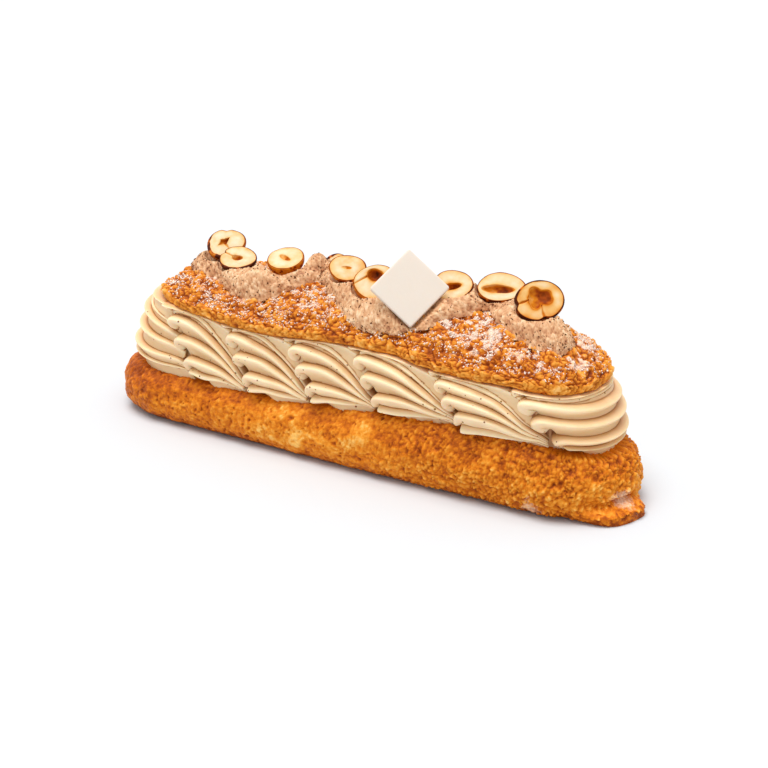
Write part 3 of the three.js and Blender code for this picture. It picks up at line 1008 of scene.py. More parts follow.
    def sugar(self, patch: Patch, rope: "Rope") -> None:
        """Strews sugar grains over the dome, thickest where the powder lies and sparse at the right.

        Args:
            patch: The finished crust.
            rope: The paste that covers part of it.
        """
        rng = np.random.default_rng(self.grain_seed)
        places = patch.points.reshape(-1, 3)
        normals = patch.normals().reshape(-1, 3)
        spacing = np.abs(np.gradient(patch.points, axis=1)).sum(axis=-1).ravel()
        chance = patch.values["dust"].ravel() * np.maximum(normals[:, 2], 0) * spacing
        chance = chance * (rope.distance(places) > rope.half_width * self.grain_gap)
        chance = chance * (1 - self.sparse * ease(places[:, 0], *self.sparse_run))
        picked = rng.choice(len(places), self.grains, replace=False, p=chance / chance.sum())
        sizes = self.least_grain + self.grain_spread * rng.uniform(0, 1, self.grains) ** 2
        spots = places[picked] + rng.normal(0, self.grain_stray, (self.grains, 3))
        facing = normals[picked]
        mesh = scatter("icing_sugar_grains", spots, facing, sizes, self.grain_seed, self.grain_squash)
        stand_for(make_piece(mesh, SUGAR.material()), "lid_crust")


@dataclass(frozen=True)
class Ridge:
    """One ridge of a piped shell: a narrow bead that ends in a hook round a pocket, over a long flank.

    ahead is the way along the loop from the shell's start to the top of the hook; crest and lower
    are the heights of the bead and of the flank's lower edge at the head, as shares of the gap
    between the choux halves; reach is how far the bead stands out from the loop's line; tail is the
    share of its height that the bead keeps at the tail; curl is the radius of the hook; slant is how
    much the flank lags behind the bead; bead is the bead's size beside the others; ragged is how torn
    its lower edge is.
    """

    ahead: float
    crest: float
    lower: float
    reach: float
    tail: float = 0.11
    curl: float = 1.9
    slant: float = 0.3
    bead: float = 1.0
    ragged: float = 0.0


@dataclass(frozen=True)
class Cream:
    """Piped praline cream: shells of hooked ridges round a loop, over a filled middle.

    Fields named head, curl, tail, flank, pocket, nose and tear shape those parts of each ridge; heights
    and distances are millimetres, levels and shares run from 0 to 1, and bends are powers. Fields
    named painted_shade paint light on the beads and shade on the flanks and noses.
    """

    base: Base
    lid: Lid
    centre: float = -1.7
    half: float = 52.6
    radius: float = 10.5
    bead_columns: int = 6
    flank_columns: int = 14
    back_columns: int = 5
    rows: int = 58
    least_step: float = 1e-3
    head_share: float = 0.26
    head_bend: int = 5
    curl_turn: float = math.radians(165)
    curl_sink: float = 2.8
    tail_ahead: float = 6.5
    tail_share: float = 0.11
    tail_recede: float = 2.6
    tail_recede_bend: float = 1.5
    tail_depth: float = 0.4
    tail_depth_bend: float = 1.6
    tail_round: float = 0.06
    fall_bend: float = 2.2
    stray: Noise = Noise(7.0, 1, 210)
    stray_size: float = 0.3
    stray_run: float = 30
    stray_step: float = 17
    nose_level: float = 0.6
    nose_lean: float = 0.3
    left_out: float = 2.6
    left_out_range: Range = (-1, 5)
    nose_bead: float = 0.7
    overlap: float = 1.1
    depth: float = 3.8
    bead: float = 1.0
    tail_bead: float = 0.5
    flank_level: float = 0.42
    flank_slope: float = 2.1
    flank_bend: float = 1.5
    flank_end_bend: int = 8
    # Painted light and shade on the ridges: the flank's level, its fall towards the lower edge, the noses'
    # extra shade and the darkest value
    flank_painted_shade: float = 0.92
    flank_end_painted_shade: float = 0.3
    nose_painted_shade: float = 0.14
    least_painted_shade: float = 0.2
    pocket: float = 0.2
    pocket_lead: float = 1.0
    pocket_run: float = 3.0
    tears: Noise = Noise(2.6, 1, 230)
    small_tears: Noise = Noise(1.2, 1, 240)
    small_tear: float = 0.8
    tear_depth: float = 0.3
    tear_level: float = 0.6
    tear_run: float = 60
    tear_across: float = 3
    tear_step: float = 11
    heel: float = 5.0
    pressed: float = 0.3
    pressed_round: float = 1.0
    tuck: float = 1.2
    tuck_range: Range = (0.8, 1.1)
    low_tuck: float = 1.7
    low_tuck_run: Range = (-20, 40)
    low_tuck_top: float = 7
    drape_lift: float = 0.7
    drape_range: Range = (0.5, 4.5)
    groove_angle: float = math.radians(40)
    front_heads: tuple[float, ...] = (-55, -36, -16.5, 3, 26, 48.5)
    core: Plan = Plan(-54.3, 50.9, 13.6, 13.6, 0)
    core_top: float = 0.85
    core_columns: int = 240
    core_shade: float = 0.8
    fleck_size: Range = (0.2, 0.45)
    fleck_squash: float = 0.75
    ridges: tuple[Ridge, ...] = (
        Ridge(2.0, 1.16, 0.86, 9.0, tail=0.66),
        Ridge(4.2, 0.89, 0.59, 9.0),
        Ridge(6.4, 0.62, 0.31, 9.3),
        Ridge(9.5, 0.34, 0.08, 9.5),
        Ridge(9.6, 0.17, -0.11, 9.2, curl=0.6, slant=1.2, bead=0.5, ragged=1.3),
    )
    body: Ridge = Ridge(5.0, 1.04, 0.06, 7.8, slant=0.6)

    def half_loop(self) -> float:
        """Length of one straight and one end of the loop."""
        return 2 * self.half + math.pi * self.radius

    def along_loop(self, run: Array, out: Array) -> tuple[Array, Array]:
        """Place after a run along the loop, at a distance from its middle line.

        The loop has two straights joined by half circles, and its back is its front turned round.

        Args:
            run: Distance along the loop, from its front left.
            out: Distance outwards from the middle line.

        Returns:
            X and Y.
        """
        straight = 2 * self.half
        around = np.mod(run, 2 * self.half_loop())
        sign = np.where(around < self.half_loop(), 1, -1)
        along = np.mod(around, self.half_loop())
        turn = np.maximum(along - straight, 0) / self.radius
        x = np.minimum(along, straight) - self.half + np.sin(turn) * out
        return self.centre + sign * x, -sign * np.cos(turn) * out

    def nose_share(self, run: Array) -> Array:
        """How far round an end the loop has turned: 0 on the straights, 1 at a nose."""
        along = np.mod(run, self.half_loop())
        return np.sin(np.maximum(along - 2 * self.half, 0) / self.radius)

    def heads(self) -> list[tuple[float, float]]:
        """Starts of the shells along the loop.

        The front row comes first, then the same row turned round and uneven by up to a millimetre.

        Returns:
            Start and next start of each shell.
        """
        front = [x - self.centre + self.half for x in self.front_heads]
        back = [s + self.half_loop() + math.sin(5 * i + 1) for i, s in enumerate(front)]
        starts = front + back
        return list(zip(starts, starts[1:] + [starts[0] + 2 * self.half_loop()]))

    def ridge_patch(self, start: float, pitch: float, ridge: Ridge, number: int) -> Patch:
        """One ridge: a bead that hooks round at the head, then thins and falls, with a flank below it.

        The bead's line turns through part of a circle at the head and then falls as a power of the
        way along; all ridges of a shell draw together at its tail. The section is round over the
        bead and falls off below it as a bell curve to a level flank. Low parts drape over the base's
        shoulder, high parts are pressed flat by the lid, and a ragged ridge has a torn lower edge.

        Args:
            start: Where the shell starts along the loop.
            pitch: Way to the next shell.
            ridge: Sizes of the ridge.
            number: Number of the ridge, which gives it its own unevenness.

        Returns:
            The closed ridge with its shade value, which holds painted light and shade.
        """
        v = np.linspace(0, 1, self.rows)[:, None]
        curl = np.maximum(1 - v / self.head_share, 0)
        along = np.maximum((v - self.head_share) / (1 - self.head_share), 0)
        turn = curl * self.curl_turn
        own = stacked(self.stray_run * v, self.stray_step * number, 0.0)
        stray = self.stray_size * self.stray.at(own)
        run = ridge.ahead - ridge.curl * np.sin(turn) + (pitch + self.tail_ahead - ridge.ahead) * along
        mid_x, _ = self.along_loop(start + run, np.full_like(run, self.radius))
        gap = self.lid.edge(mid_x) - self.base.top(mid_x)
        held = self.nose_level * self.nose_share(start + pitch / 2)
        fallen = along**self.fall_bend * (1 - held)
        crest = ridge.crest * blend(1, ridge.tail, fallen) * gap
        lower = ridge.lower * blend(1, self.tail_share, fallen) * gap
        high = crest - ridge.curl * (1 - np.cos(turn)) + stray
        slope = np.arctan2(np.gradient(high, axis=0), np.gradient(run, axis=0))
        step = np.maximum(np.gradient(run, axis=0), self.least_step)
        fall = np.arctan2(np.gradient(crest, axis=0), step)
        tip = np.sqrt(np.clip((1 - v) / self.tail_round, 0, 1))
        ends = np.sqrt(np.clip(1 - curl**self.head_bend, 0, 1)) * tip
        nose = self.nose_share(start + run)
        bead = ridge.bead * blend(self.bead, self.tail_bead, along) * blend(1, self.nose_bead, nose)
        passed = np.clip((run - ridge.ahead + ridge.curl) / self.heel, 0, 1)
        room = self.overlap * (crest - lower) * np.where(curl > 0, 1, np.cos(fall))
        below = blend(bead, room, np.sqrt(1 - (1 - passed) ** 2)) * ends
        tall = self.depth * blend(1, self.tail_depth, along**self.tail_depth_bend) * ends
        recede = self.tail_recede * along**self.tail_recede_bend
        deep = ridge.reach - tall - self.curl_sink * curl**2 - recede
        top = np.linspace(1, 0, self.bead_columns, endpoint=False)
        flank = -np.linspace(0, 1, self.flank_columns, endpoint=False) ** self.flank_bend
        behind = np.linspace(math.pi, 2 * math.pi, self.back_columns, endpoint=False)
        share = np.concatenate([top, flank, np.cos(behind)])
        half = np.where(share > 0, bead * ends, below) * share
        bell = np.exp(-((np.minimum(half, 0) / (self.flank_slope * bead)) ** 2))
        opened = ease(run, ridge.ahead - self.pocket_lead, ridge.ahead + self.pocket_run)
        level = blend(self.pocket, self.flank_level, opened)
        shelf = blend(level, 1, bell) * np.sqrt(1 - share**self.flank_end_bend)
        round_top = np.sqrt(1 - share**2)
        rear = np.concatenate([0 * top, 0 * flank, np.sin(behind)])
        out = np.where(rear < 0, rear, np.where(share > 0, round_top, shelf))
        # Painted light and shade: the bead is painted lightest along its crest and darker towards the groove
        # above it, the flank darker towards its lower edge, and the noses darker overall
        painted_flank_shade = self.flank_painted_shade - self.flank_end_painted_shade * np.abs(share)
        lit = blend(painted_flank_shade, 1, bell) * np.where(share > 0, round_top, 1)
        shade = blend(self.least_painted_shade, 1, lit) - self.nose_painted_shade * nose
        tear_side = self.tear_across * share + self.tear_step * number
        edge = stacked(self.tear_run * v, tear_side, self.tear_across * out)
        torn = self.tears.at(edge) + self.small_tear * self.small_tears.at(edge)
        tear = np.maximum(-share, 0) ** 2 * ridge.ragged
        half = half - self.tear_depth * below * tear * (self.tear_level + torn)
        height = high + np.cos(slope) * half
        left_out = np.where(mid_x < 0, self.left_out, 0) * ease(height, *self.left_out_range)
        lean = nose * (self.nose_lean * np.maximum(height, 0) - left_out)
        low_tuck = self.low_tuck * ease(mid_x, *self.low_tuck_run) * (1 - ease(height, 0, self.low_tuck_top))
        tucked = self.tuck * ease(height / gap, *self.tuck_range) + low_tuck
        place = start + run - np.sin(slope) * half - ridge.slant * np.minimum(half, 0)
        px, py = self.along_loop(place, self.radius + deep + tall * out - lean - tucked)
        low = 1 - ease(height, *self.drape_range)
        rest = self.base.top(px)
        drape = low * (rest - self.base.rest(px, py) - self.drape_lift)
        lid = self.lid.edge(px) + self.pressed
        clearance = (lid - rest - height + drape) / self.pressed_round
        z = lid - self.pressed_round * np.logaddexp(0, clearance)
        return Patch(stacked(px, py, z), {"shade": np.clip(shade, 0, 1)})

    def filling(self) -> Patch:
        """The hidden middle: a plain block between the rows, from the base's top to the lid.

        Returns:
            The closed block with its shade value.
        """
        x, nx, ny, radius = self.core.walk(np.arange(self.core_columns) / self.core_columns)
        share = np.array([0, 0.5, 1, self.core_top, 0.5, 0])[:, None]
        px, py = x + nx * radius * share, ny * radius * share
        upper = np.array([0, 0, 0, 1, 1, 1])[:, None]
        z = blend(self.base.top(px) - self.pressed, self.lid.edge(px) + self.pressed, upper)
        return Patch(stacked(px, py, z), {"shade": self.core_shade + 0 * px})

    def dress(self) -> bpy.types.Object:
        """Fuses the ridges and the filling into one cream and hangs it on the frame.

        Returns:
            The fused cream.
        """
        finish = CREAM.material()
        ridges = bpy.data.collections.new("cream_ridges")
        bpy.context.scene.collection.children.link(ridges)
        whole = patch_piece("piped_praline_cream", self.filling(), finish)
        for (start, end), ridge in product(self.heads(), [self.body, *self.ridges]):
            number = len(ridges.objects)
            patch = self.ridge_patch(start, end - start, ridge, number)
            ridges.objects.link(patch_piece(f"ridge_{number}", patch, finish))
        fuse = whole.modifiers.new("fuse", "BOOLEAN")
        fuse.operation = "UNION"
        fuse.operand_type = "COLLECTION"
        fuse.collection = ridges
        fuse.solver = "MANIFOLD"
        depsgraph = bpy.context.evaluated_depsgraph_get()
        fused = bpy.data.meshes.new_from_object(whole.evaluated_get(depsgraph))
        whole.modifiers.clear()
        whole.data = fused
        fused.set_sharp_from_angle(angle=self.groove_angle)
        for part in list(ridges.objects):
            bpy.data.objects.remove(part)
        bpy.data.collections.remove(ridges)
        stand_for(whole, "cream", "praline_cream")
        self.specks(fused)
        return whole

    def specks(self, cream: bpy.types.Mesh, count: int = 420, seed: int = 5) -> None:
        """Strews flecks of nut skin over the cream.

        Args:
            cream: The fused cream.
            count: Number of flecks.
            seed: Seed of the draws.
        """
        rng = np.random.default_rng(seed)
        places = np.empty(3 * len(cream.vertices), np.float32)
        cream.vertices.foreach_get("co", places)
        normals = np.empty_like(places)
        cream.vertices.foreach_get("normal", normals)
        picked = rng.choice(len(cream.vertices), count, replace=False)
        spots, facing = places.reshape(-1, 3)[picked] / MM, normals.reshape(-1, 3)[picked]
        sizes = rng.uniform(*self.fleck_size, count)
        flecks = scatter("cream_skin_flecks", spots, facing, sizes, seed, self.fleck_squash)
        stand_for(make_piece(flecks, CREAM_FLECK.material()), "cream")


@dataclass(frozen=True)
class Seat:
    """Face of a topping that is pressed into the paste, and how the paste yields round it.

    below is how far behind the face the paste lies, rise is how steeply it climbs outside the
    outline, and span is how many outlines away it still yields.
    """

    at: tuple[float, float, float]
    turn: Array
    half_length: float
    half_width: float
    below: float
    rise: float
    square: bool = False
    span: float = 2

    def press(self, points: Array) -> Array:
        """Moves paste that would lie over the topping back behind its face.

        Args:
            points: Points of the paste.

        Returns:
            The points, none of them in front of the face; outside its outline they rise again.
        """
        local = (points - np.array(self.at)) @ self.turn
        along = np.abs(local[..., 0]) / self.half_length
        across = np.abs(local[..., 1]) / self.half_width
        far = np.maximum(along, across) if self.square else np.hypot(along, across)
        limit = -self.below + self.rise * np.maximum(far - 1, 0)
        local[..., 2] = np.where(far < self.span, np.minimum(local[..., 2], limit), local[..., 2])
        return local @ self.turn.T + np.array(self.at)


@dataclass(frozen=True)
class Rope:
    """Praline paste piped in one wave along the lid, with toppings pressed into it.

    knots are points of its line in plan; peaks are the X, width and share of its higher places;
    front_left and front_right are the width of its front side at both ends beside that in the middle.
    """

    lid: Lid
    seats: tuple[Seat, ...]
    knots: tuple[tuple[float, float], ...] = (
        (-58, 0), (-44, -5.4), (-30, -9.4), (-16.5, 2.2), (-4, -6.5),
        (8, -12), (20, -8), (31.5, 7), (45, -2), (56, -2),
    )
    half_width: float = 4.7
    front_left: float = 0.74
    front_right: float = 1.5
    height: float = 4.5
    sunk: float = 1.2
    peaks: tuple[tuple[float, float, float], ...] = ((-19.2, 2.4, 0.36), (-30.5, 3, 0.35))
    end_round: float = 0.09
    columns: int = 96
    rows: int = 620
    swell: float = 0.12
    swell_wave: float = 5
    swell_across: float = 4
    left_run: Range = (-34, -14)
    right_run: Range = (18, 28)
    lumps: Noise = Noise(5.0, 3, 310)
    grains: Cells = Cells(0.95, 320)
    least_grain: float = 0.3
    fine: Noise = Noise(0.6, 2, 330)
    gap_width: float = 0.25
    sunk_grain: float = 0.3
    relief: Weights = (("lumps", 0.8), ("grain", 0.45), ("fine", 0.2))
    tone: float = 0.52
    tones: Weights = (("grain_tone", 0.4), ("lumps", 0.16), ("fine", 0.2), ("gap", -0.25))
    line_points: int = 160
    least_flake: float = 0.12
    flake_spread: float = 0.36

    def line(self, v: Array) -> Array:
        """Middle line: a uniform Catmull-Rom curve through the knots.

        Args:
            v: Shares of the way along.

        Returns:
            X and Y on the last axis.
        """
        knots = np.array(self.knots, float)
        last = len(knots) - 1
        place = np.clip(v, 0, 1) * last
        first = np.minimum(np.floor(place).astype(int), last - 1)
        t = (place - first)[..., None]
        p0, p1, p2, p3 = (knots[np.clip(first + i, 0, last)] for i in (-1, 0, 1, 2))
        v0, v1 = (p2 - p0) / 2, (p3 - p1) / 2
        return (2 * p1 - 2 * p2 + v0 + v1) * t**3 + (3 * p2 - 3 * p1 - 2 * v0 - v1) * t**2 + v0 * t + p1

    def distance(self, places: Array) -> Array:
        """Distance in plan to the middle line: the least of those to points along it.

        Args:
            places: Points, one to a row.

        Returns:
            One distance per place.
        """
        line = self.line(np.linspace(0, 1, self.line_points))
        nearest = np.full(len(places), np.inf)
        for point in line:
            nearest = np.minimum(nearest, np.hypot(places[:, 0] - point[0], places[:, 1] - point[1]))
        return nearest

    def patch(self) -> Patch:
        """Half-round section carried square to the line, laid over the dome, with round ends.

        Returns:
            The closed rope with its shade value, lumpy with ground nut.
        """
        v = np.linspace(0, 1, self.rows)
        middle = self.line(v)
        heading = np.gradient(middle, axis=0)
        heading /= np.linalg.norm(heading, axis=-1, keepdims=True)
        from_end = np.minimum(np.minimum(v, 1 - v), self.end_round) / self.end_round
        size = np.sqrt(np.maximum(1 - (1 - from_end) ** 2, 0))[:, None]
        angle = -2 * math.pi * np.arange(self.columns) / self.columns
        mx, my = middle[:, :1], middle[:, 1:]
        lump = crossed_waves(mx, self.swell_across * np.sin(angle), my, self.swell_wave, 3)
        peak = sum(rise * np.exp(-(((mx - at) / width) ** 2)) for at, width, rise in self.peaks)
        section = size * (1 + self.swell * lump)
        front = blend(self.front_left, 1, ease(mx, *self.left_run))
        front = front * blend(1, self.front_right, ease(mx, *self.right_run))
        side = self.half_width * section * np.cos(angle) * np.where(np.cos(angle) > 0, front, 1)
        x, y = mx + heading[:, 1:] * side, my - heading[:, :1] * side
        rise = np.where(np.sin(angle) > 0, self.height * (1 + peak), self.sunk) * section * np.sin(angle)
        points = stacked(x, y, self.lid.over(x, y) + rise)
        for seat in self.seats:
            points = seat.press(points)
        near, second, draws = self.grains.at(points)
        layers = {
            "lumps": self.lumps.at(points),
            "grain": (1 - near**2) * (self.least_grain + draws),
            "grain_tone": draws - 0.5,
            "fine": self.fine.at(points),
            "gap": 1 - ease(second - near, 0, self.gap_width),
        }
        relief = (weighed(layers, self.relief) - self.sunk_grain) * size
        shade = np.clip(self.tone + weighed(layers, self.tones), 0, 1)
        aside = np.cos(angle)
        normal = stacked(heading[:, 1:] * aside, -heading[:, :1] * aside, np.sin(angle) + 0 * mx)
        return Patch(points + normal * relief[..., None], {"shade": shade})

    def dress(self, specks: int = 5200, seed: int = 11) -> bpy.types.Object:
        """Builds the rope and the skin flakes in it.

        Args:
            specks: Number of flakes.
            seed: Seed of the draws.

        Returns:
            The rope.
        """
        patch = self.patch()
        piece = patch_piece("praline_paste_rope", patch, PASTE.material())
        stand_for(piece, "paste", "praline_rope")
        rng = np.random.default_rng(seed)
        places, normals = patch.points.reshape(-1, 3), patch.normals().reshape(-1, 3)
        picked = rng.choice(len(places), specks, replace=False)
        sizes = self.least_flake + self.flake_spread * rng.uniform(0, 1, specks) ** 3
        flakes = scatter("paste_skin_flakes", places[picked], normals[picked], sizes, seed)
        stand_for(make_piece(flakes, SKIN_CRUMB.material()), "paste")
        return piece


class Laid:
    """A flat topping whose face looked up +Z before it was laid down.

    facing is its turn about the upright, tilt how far up the face looks above level, and roll its
    turn in its own plane, all in degrees.
    """

    facing: float
    tilt: float
    roll: float

    def turn(self) -> Array:
        """Rotation that lays the topping down.

        Returns:
            The matrix: roll first, then the tip forwards, then the turn about the upright.
        """
        face, lay, spin = (math.radians(a) for a in (self.facing, 90 - self.tilt, self.roll))
        upright, own = (
            np.array([[math.cos(a), -math.sin(a), 0], [math.sin(a), math.cos(a), 0], [0, 0, 1]])
            for a in (face, spin)
        )
        tip = np.array([[1, 0, 0], [0, math.cos(lay), -math.sin(lay)], [0, math.sin(lay), math.cos(lay)]])
        return upright @ tip @ own


class Hollow(Enum):
    """Outline of the hollow in a hazelnut's cut face."""

    DIAMOND = "diamond"
    ROUND = "round"
    SLIT = "slit"
    STAR = "star"

    def reach(self, angle: Array) -> Array:
        """Radius of the outline at each angle.

        A diamond's radius falls with the sum of its two coordinates, a slit is a narrow ellipse, a
        star has uneven lobes, and a round hollow is a circle with a slight swell.

        Args:
            angle: Angles from the hollow's own long axis.

        Returns:
            Radii, about 1 at the widest.
        """
        if self is Hollow.DIAMOND:
            return 1 / (np.abs(np.cos(angle)) + 1.6 * np.abs(np.sin(angle))) ** 1.1
        if self is Hollow.SLIT:
            return 1 / np.hypot(np.cos(angle), np.sin(angle) / 0.42)
        if self is Hollow.STAR:
            return 0.8 + 0.08 * np.cos(5 * angle) + 0.12 * np.cos(3 * angle + 2)
        return 1 + 0.12 * np.cos(2 * angle + 1) + 0.06 * np.cos(3 * angle)


@dataclass(frozen=True)
class Hazelnut(Laid):
    """One roasted half: cut face, hollow, rim and a domed back under patchy skin.

    Angles on the face are degrees from its own long axis. splits are the seams that run from the
    hollow to the rim; notches are dents in the outline; skin is the share of the back still covered;
    bed is how deep the paste lies behind the face, in widths, and how steeply it rises outside it;
    lap is the side where skin laps over the rim, and the share of the face it covers there.
    """

    number: int
    at: tuple[float, float, float]
    size: tuple[float, float]
    facing: float
    tilt: float
    roll: float
    hollow: Hollow = Hollow.ROUND
    hollow_share: float = 0.3
    hollow_depth: float = 0.16
    hollow_turn: float = 0.0
    hollow_at: tuple[float, float] = (0.0, 0.0)
    toast: float = 0.5
    roast: float = 0.0
    skin: float = 0.5
    splits: tuple[float, ...] = ()
    notches: tuple[float, ...] = ()
    notch_depth: float = 0.12
    notch_width: float = 11.0
    split_width: float = 0.2
    bed: tuple[float, float] = (0.3, 22)
    lap: tuple[float, float] = (0.0, 0.0)
    depth: float = 0.42
    tip: float = 0.06
    rim_round: float = 0.05
    lobes: float = 0.025
    seam_wave: float = 2.2
    seam_stray: float = 0.12
    seam_depth: float = 0.35
    hollow_bend: float = 0.7
    hollow_edge: int = 18
    back_bend: float = 0.65
    uneven: float = 0.03
    wavy: float = 0.14
    rim_skin: Range = (0.1, 0.6)
    flake_range: Range = (0.35, 0.6)
    flake_swing: float = 0.8
    skin_shade: float = 0.12
    skin_mottle: float = 0.07
    bare_shade: float = 0.44
    bare_mottle: float = 0.14
    dot_range: Range = (0.25, 0.5)
    dot_shade: float = 0.25
    lap_range: Range = (0.1, 0.8)
    lap_stray: float = 0.4
    lap_edge: float = 0.06
    least_lap: float = 0.02
    flesh_shade: float = 0.95
    flesh_mottle: float = 0.16
    halo: float = 0.5
    halo_fall: float = 6
    rim_toast: float = 0.25
    rim_from: float = 0.93
    rim_shade: float = 0.55
    seam_shade: float = 0.32
    # Hollow tones: toasted brown together with painted shade of the recess, and painted light on one side
    pale_hollow_toast_and_shade: float = 0.62
    dark_hollow_toast_and_shade: float = 0.3
    painted_hollow_side_light: float = 0.12
    columns: int = 160
    hollow_rows: int = 16
    face_rows: int = 30
    rim_rows: int = 8
    back_rows: int = 26
    key_across: float = 5
    key_deep: float = 10
    key_step: float = 31
    unevenness: Noise = Noise(4.0, 1, 410)
    waviness: Noise = Noise(2.0, 2, 420)
    flaking: Noise = Noise(2.2, 3, 430)
    dotting: Noise = Noise(0.9, 2, 435)
    baring: Noise = Noise(1.4, 2, 440)
    skinning: Noise = Noise(1.0, 2, 450)
    fleshing: Noise = Noise(1.8, 2, 460)
    toasting: Noise = Noise(0.8, 2, 470)
    lapping: Noise = Noise(1.5, 2, 480)

    def outline(self, angle: Array) -> Array:
        """Outline of the rim: a blunt tip, a soft three-lobed swell and bell-shaped notches.

        Args:
            angle: Angles from the long axis.

        Returns:
            Radii, about 1.
        """
        radius = 1 + self.tip * np.cos(angle) ** 3 + self.lobes * np.cos(3 * angle + self.number)
        for notch in self.notches:
            away = np.degrees(np.angle(np.exp(1j * (angle - math.radians(notch)))))
            radius = radius - self.notch_depth * np.exp(-((away / self.notch_width) ** 2))
        return radius

    def seam(self, x: Array, y: Array) -> Array:
        """Share of a seam at places on the face, 1 in its middle line.

        Args:
            x: Millimetres from the hollow's middle, along the long axis.
            y: The same, across it.

        Returns:
            One share per place.
        """
        share = 0 * x
        for split in self.splits:
            ahead = np.array([math.cos(math.radians(split)), math.sin(math.radians(split))])
            across = np.abs(x * ahead[1] - y * ahead[0])
            wavy = across + self.seam_stray * np.sin(self.seam_wave * (x + y))
            line = np.exp(-((wavy / self.split_width) ** 2))
            share = np.maximum(share, line * ((x * ahead[0] + y * ahead[1]) > 0))
        return share

    def patch(self) -> Patch:
        """Closed half about its cut face, from the middle of the hollow to the middle of the back.

        Rows run over the hollow, the face, a rounded rim and half an ellipsoid.

        Returns:
            The placed surface with its shade value.
        """
        angle = 2 * math.pi * np.arange(self.columns) / self.columns
        edge = self.hollow_share * self.hollow.reach(angle - math.radians(self.hollow_turn))
        quarter = math.pi / 2
        zones = (
            np.linspace(0, 1, self.hollow_rows, endpoint=False)[:, None] + 0 * angle,
            np.linspace(0, 1, self.face_rows, endpoint=False)[:, None] + 0 * angle,
            np.linspace(0, quarter, self.rim_rows, endpoint=False)[:, None] + 0 * angle,
            np.linspace(0, quarter, self.back_rows)[:, None] + 0 * angle,
        )
        inside, over, rim, back = zones
        face_end = 1 - self.rim_round
        rim_out = face_end + self.rim_round * np.sin(rim)
        face_out, back_out = blend(edge, face_end, over), np.cos(back) ** self.back_bend
        out = zoned(zones, inside * edge, face_out, rim_out, back_out)
        down = zoned(
            zones,
            -self.hollow_depth * (1 - inside**2) ** self.hollow_bend,
            0,
            -self.rim_round * (1 - np.cos(rim)),
            -self.rim_round - (self.depth - self.rim_round) * np.sin(back),
        )
        length, width = self.size
        around = stacked(np.cos(angle), np.sin(angle), 0 * angle)
        key = out[..., None] * around * self.key_across
        key[..., 2] = down * self.key_deep
        key = key + self.key_step * self.number
        shape = out * self.outline(angle) * (1 + self.uneven * self.unevenness.at(key))
        x = shape * length / 2 * np.cos(angle)
        y = shape * width / 2 * np.sin(angle)
        seam = self.seam(x, y) * zoned(zones, 0, 1, 1, 0)
        off_middle = zoned(zones, 1, 1 - over, 0, 0)
        x, y = x + off_middle * self.hollow_at[0], y + off_middle * self.hollow_at[1]
        z = down * width + self.wavy * self.waviness.at(key) - self.seam_depth * seam
        placed = np.stack([x, y, z], axis=-1) @ self.turn().T + np.array(self.at)
        return Patch(placed, {"shade": self.tone(zones, angle, key, seam)})

    def tone(self, zones: tuple[Array, ...], angle: Array, key: Array, seam: Array) -> Array:
        """Shade of the half: dark skin below 0.25, toast about 0.5 and flesh 1.

        Flesh is toasted in the hollow, in a halo round it and towards the rim; the hollow is also
        painted darker as shade in the recess, lighter on one side and darker on the other; skin
        flakes off the back and laps over one side of the face.

        Args:
            zones: Steps over the hollow, the face, the rim and the back.
            angle: Angle of each column.
            key: Places that the noise patterns are read at.
            seam: Share of a seam.

        Returns:
            One shade per point.
        """
        inside, over, rim, _ = zones
        swing = self.flake_swing * self.skin
        start, end = self.flake_range
        flake = ease(self.flaking.at(key), start - swing, end - swing)
        dots = self.dot_shade * ease(self.dotting.at(key), *self.dot_range)
        bare = self.bare_shade + self.bare_mottle * self.baring.at(key) - dots
        cover = blend(bare, self.skin_shade + self.skin_mottle * self.skinning.at(key), flake)
        side, share = self.lap
        lapped = share * ease(np.cos(angle - math.radians(side)), *self.lap_range)
        lapped = lapped * (1 + self.lap_stray * self.lapping.at(key))
        lap = ease(zoned(zones, 0, over, 1, 1), 1 - lapped, 1 + self.lap_edge - lapped)
        on_back = zoned(zones, 0, 0, ease(rim, *self.rim_skin), 1)
        covered = np.maximum(on_back, lap * (lapped > self.least_lap))
        toasted = self.halo * self.toast * zoned(zones, 0, np.exp(-over * self.halo_fall), 0, 0)
        toasted = toasted + self.rim_toast * zoned(zones, 0, over**3, 1, 0)
        flesh = self.flesh_shade - self.roast + self.flesh_mottle * self.fleshing.at(key) - toasted
        # Painted shade in the hollow: toasted brown darkened further as shade in the recess, painted lighter
        # on one side and darker on the other
        hollow = blend(self.pale_hollow_toast_and_shade, self.dark_hollow_toast_and_shade, self.toast) - self.painted_hollow_side_light * np.cos(angle)
        hollow = hollow + self.flesh_mottle * self.toasting.at(key)
        pit = zoned(zones, 1 - inside**self.hollow_edge, 0, 0, 0)
        rim_line = zoned(zones, 0, ease(over, self.rim_from, 1), 1, 0)
        flesh = blend(flesh, hollow, pit) - self.seam_shade * seam - self.rim_shade * rim_line**2
        return np.clip(blend(flesh, cover, covered), 0, 1)

    def seat(self) -> Seat:
        """The face as the paste meets it."""
        (length, width), (below, rise) = self.size, self.bed
        return Seat(self.at, self.turn(), length / 2, width / 2, below * width, rise)

    def dress(self, finish: bpy.types.Material) -> bpy.types.Object:
        """Builds the half and hangs it on the frame.

        Args:
            finish: Material that all halves share.

        Returns:
            The half.
        """
        piece = patch_piece(f"hazelnut_half_{self.number}", self.patch(), finish)
        stand_for(piece, "kernel", f"hazelnut_{self.number}")
        return piece


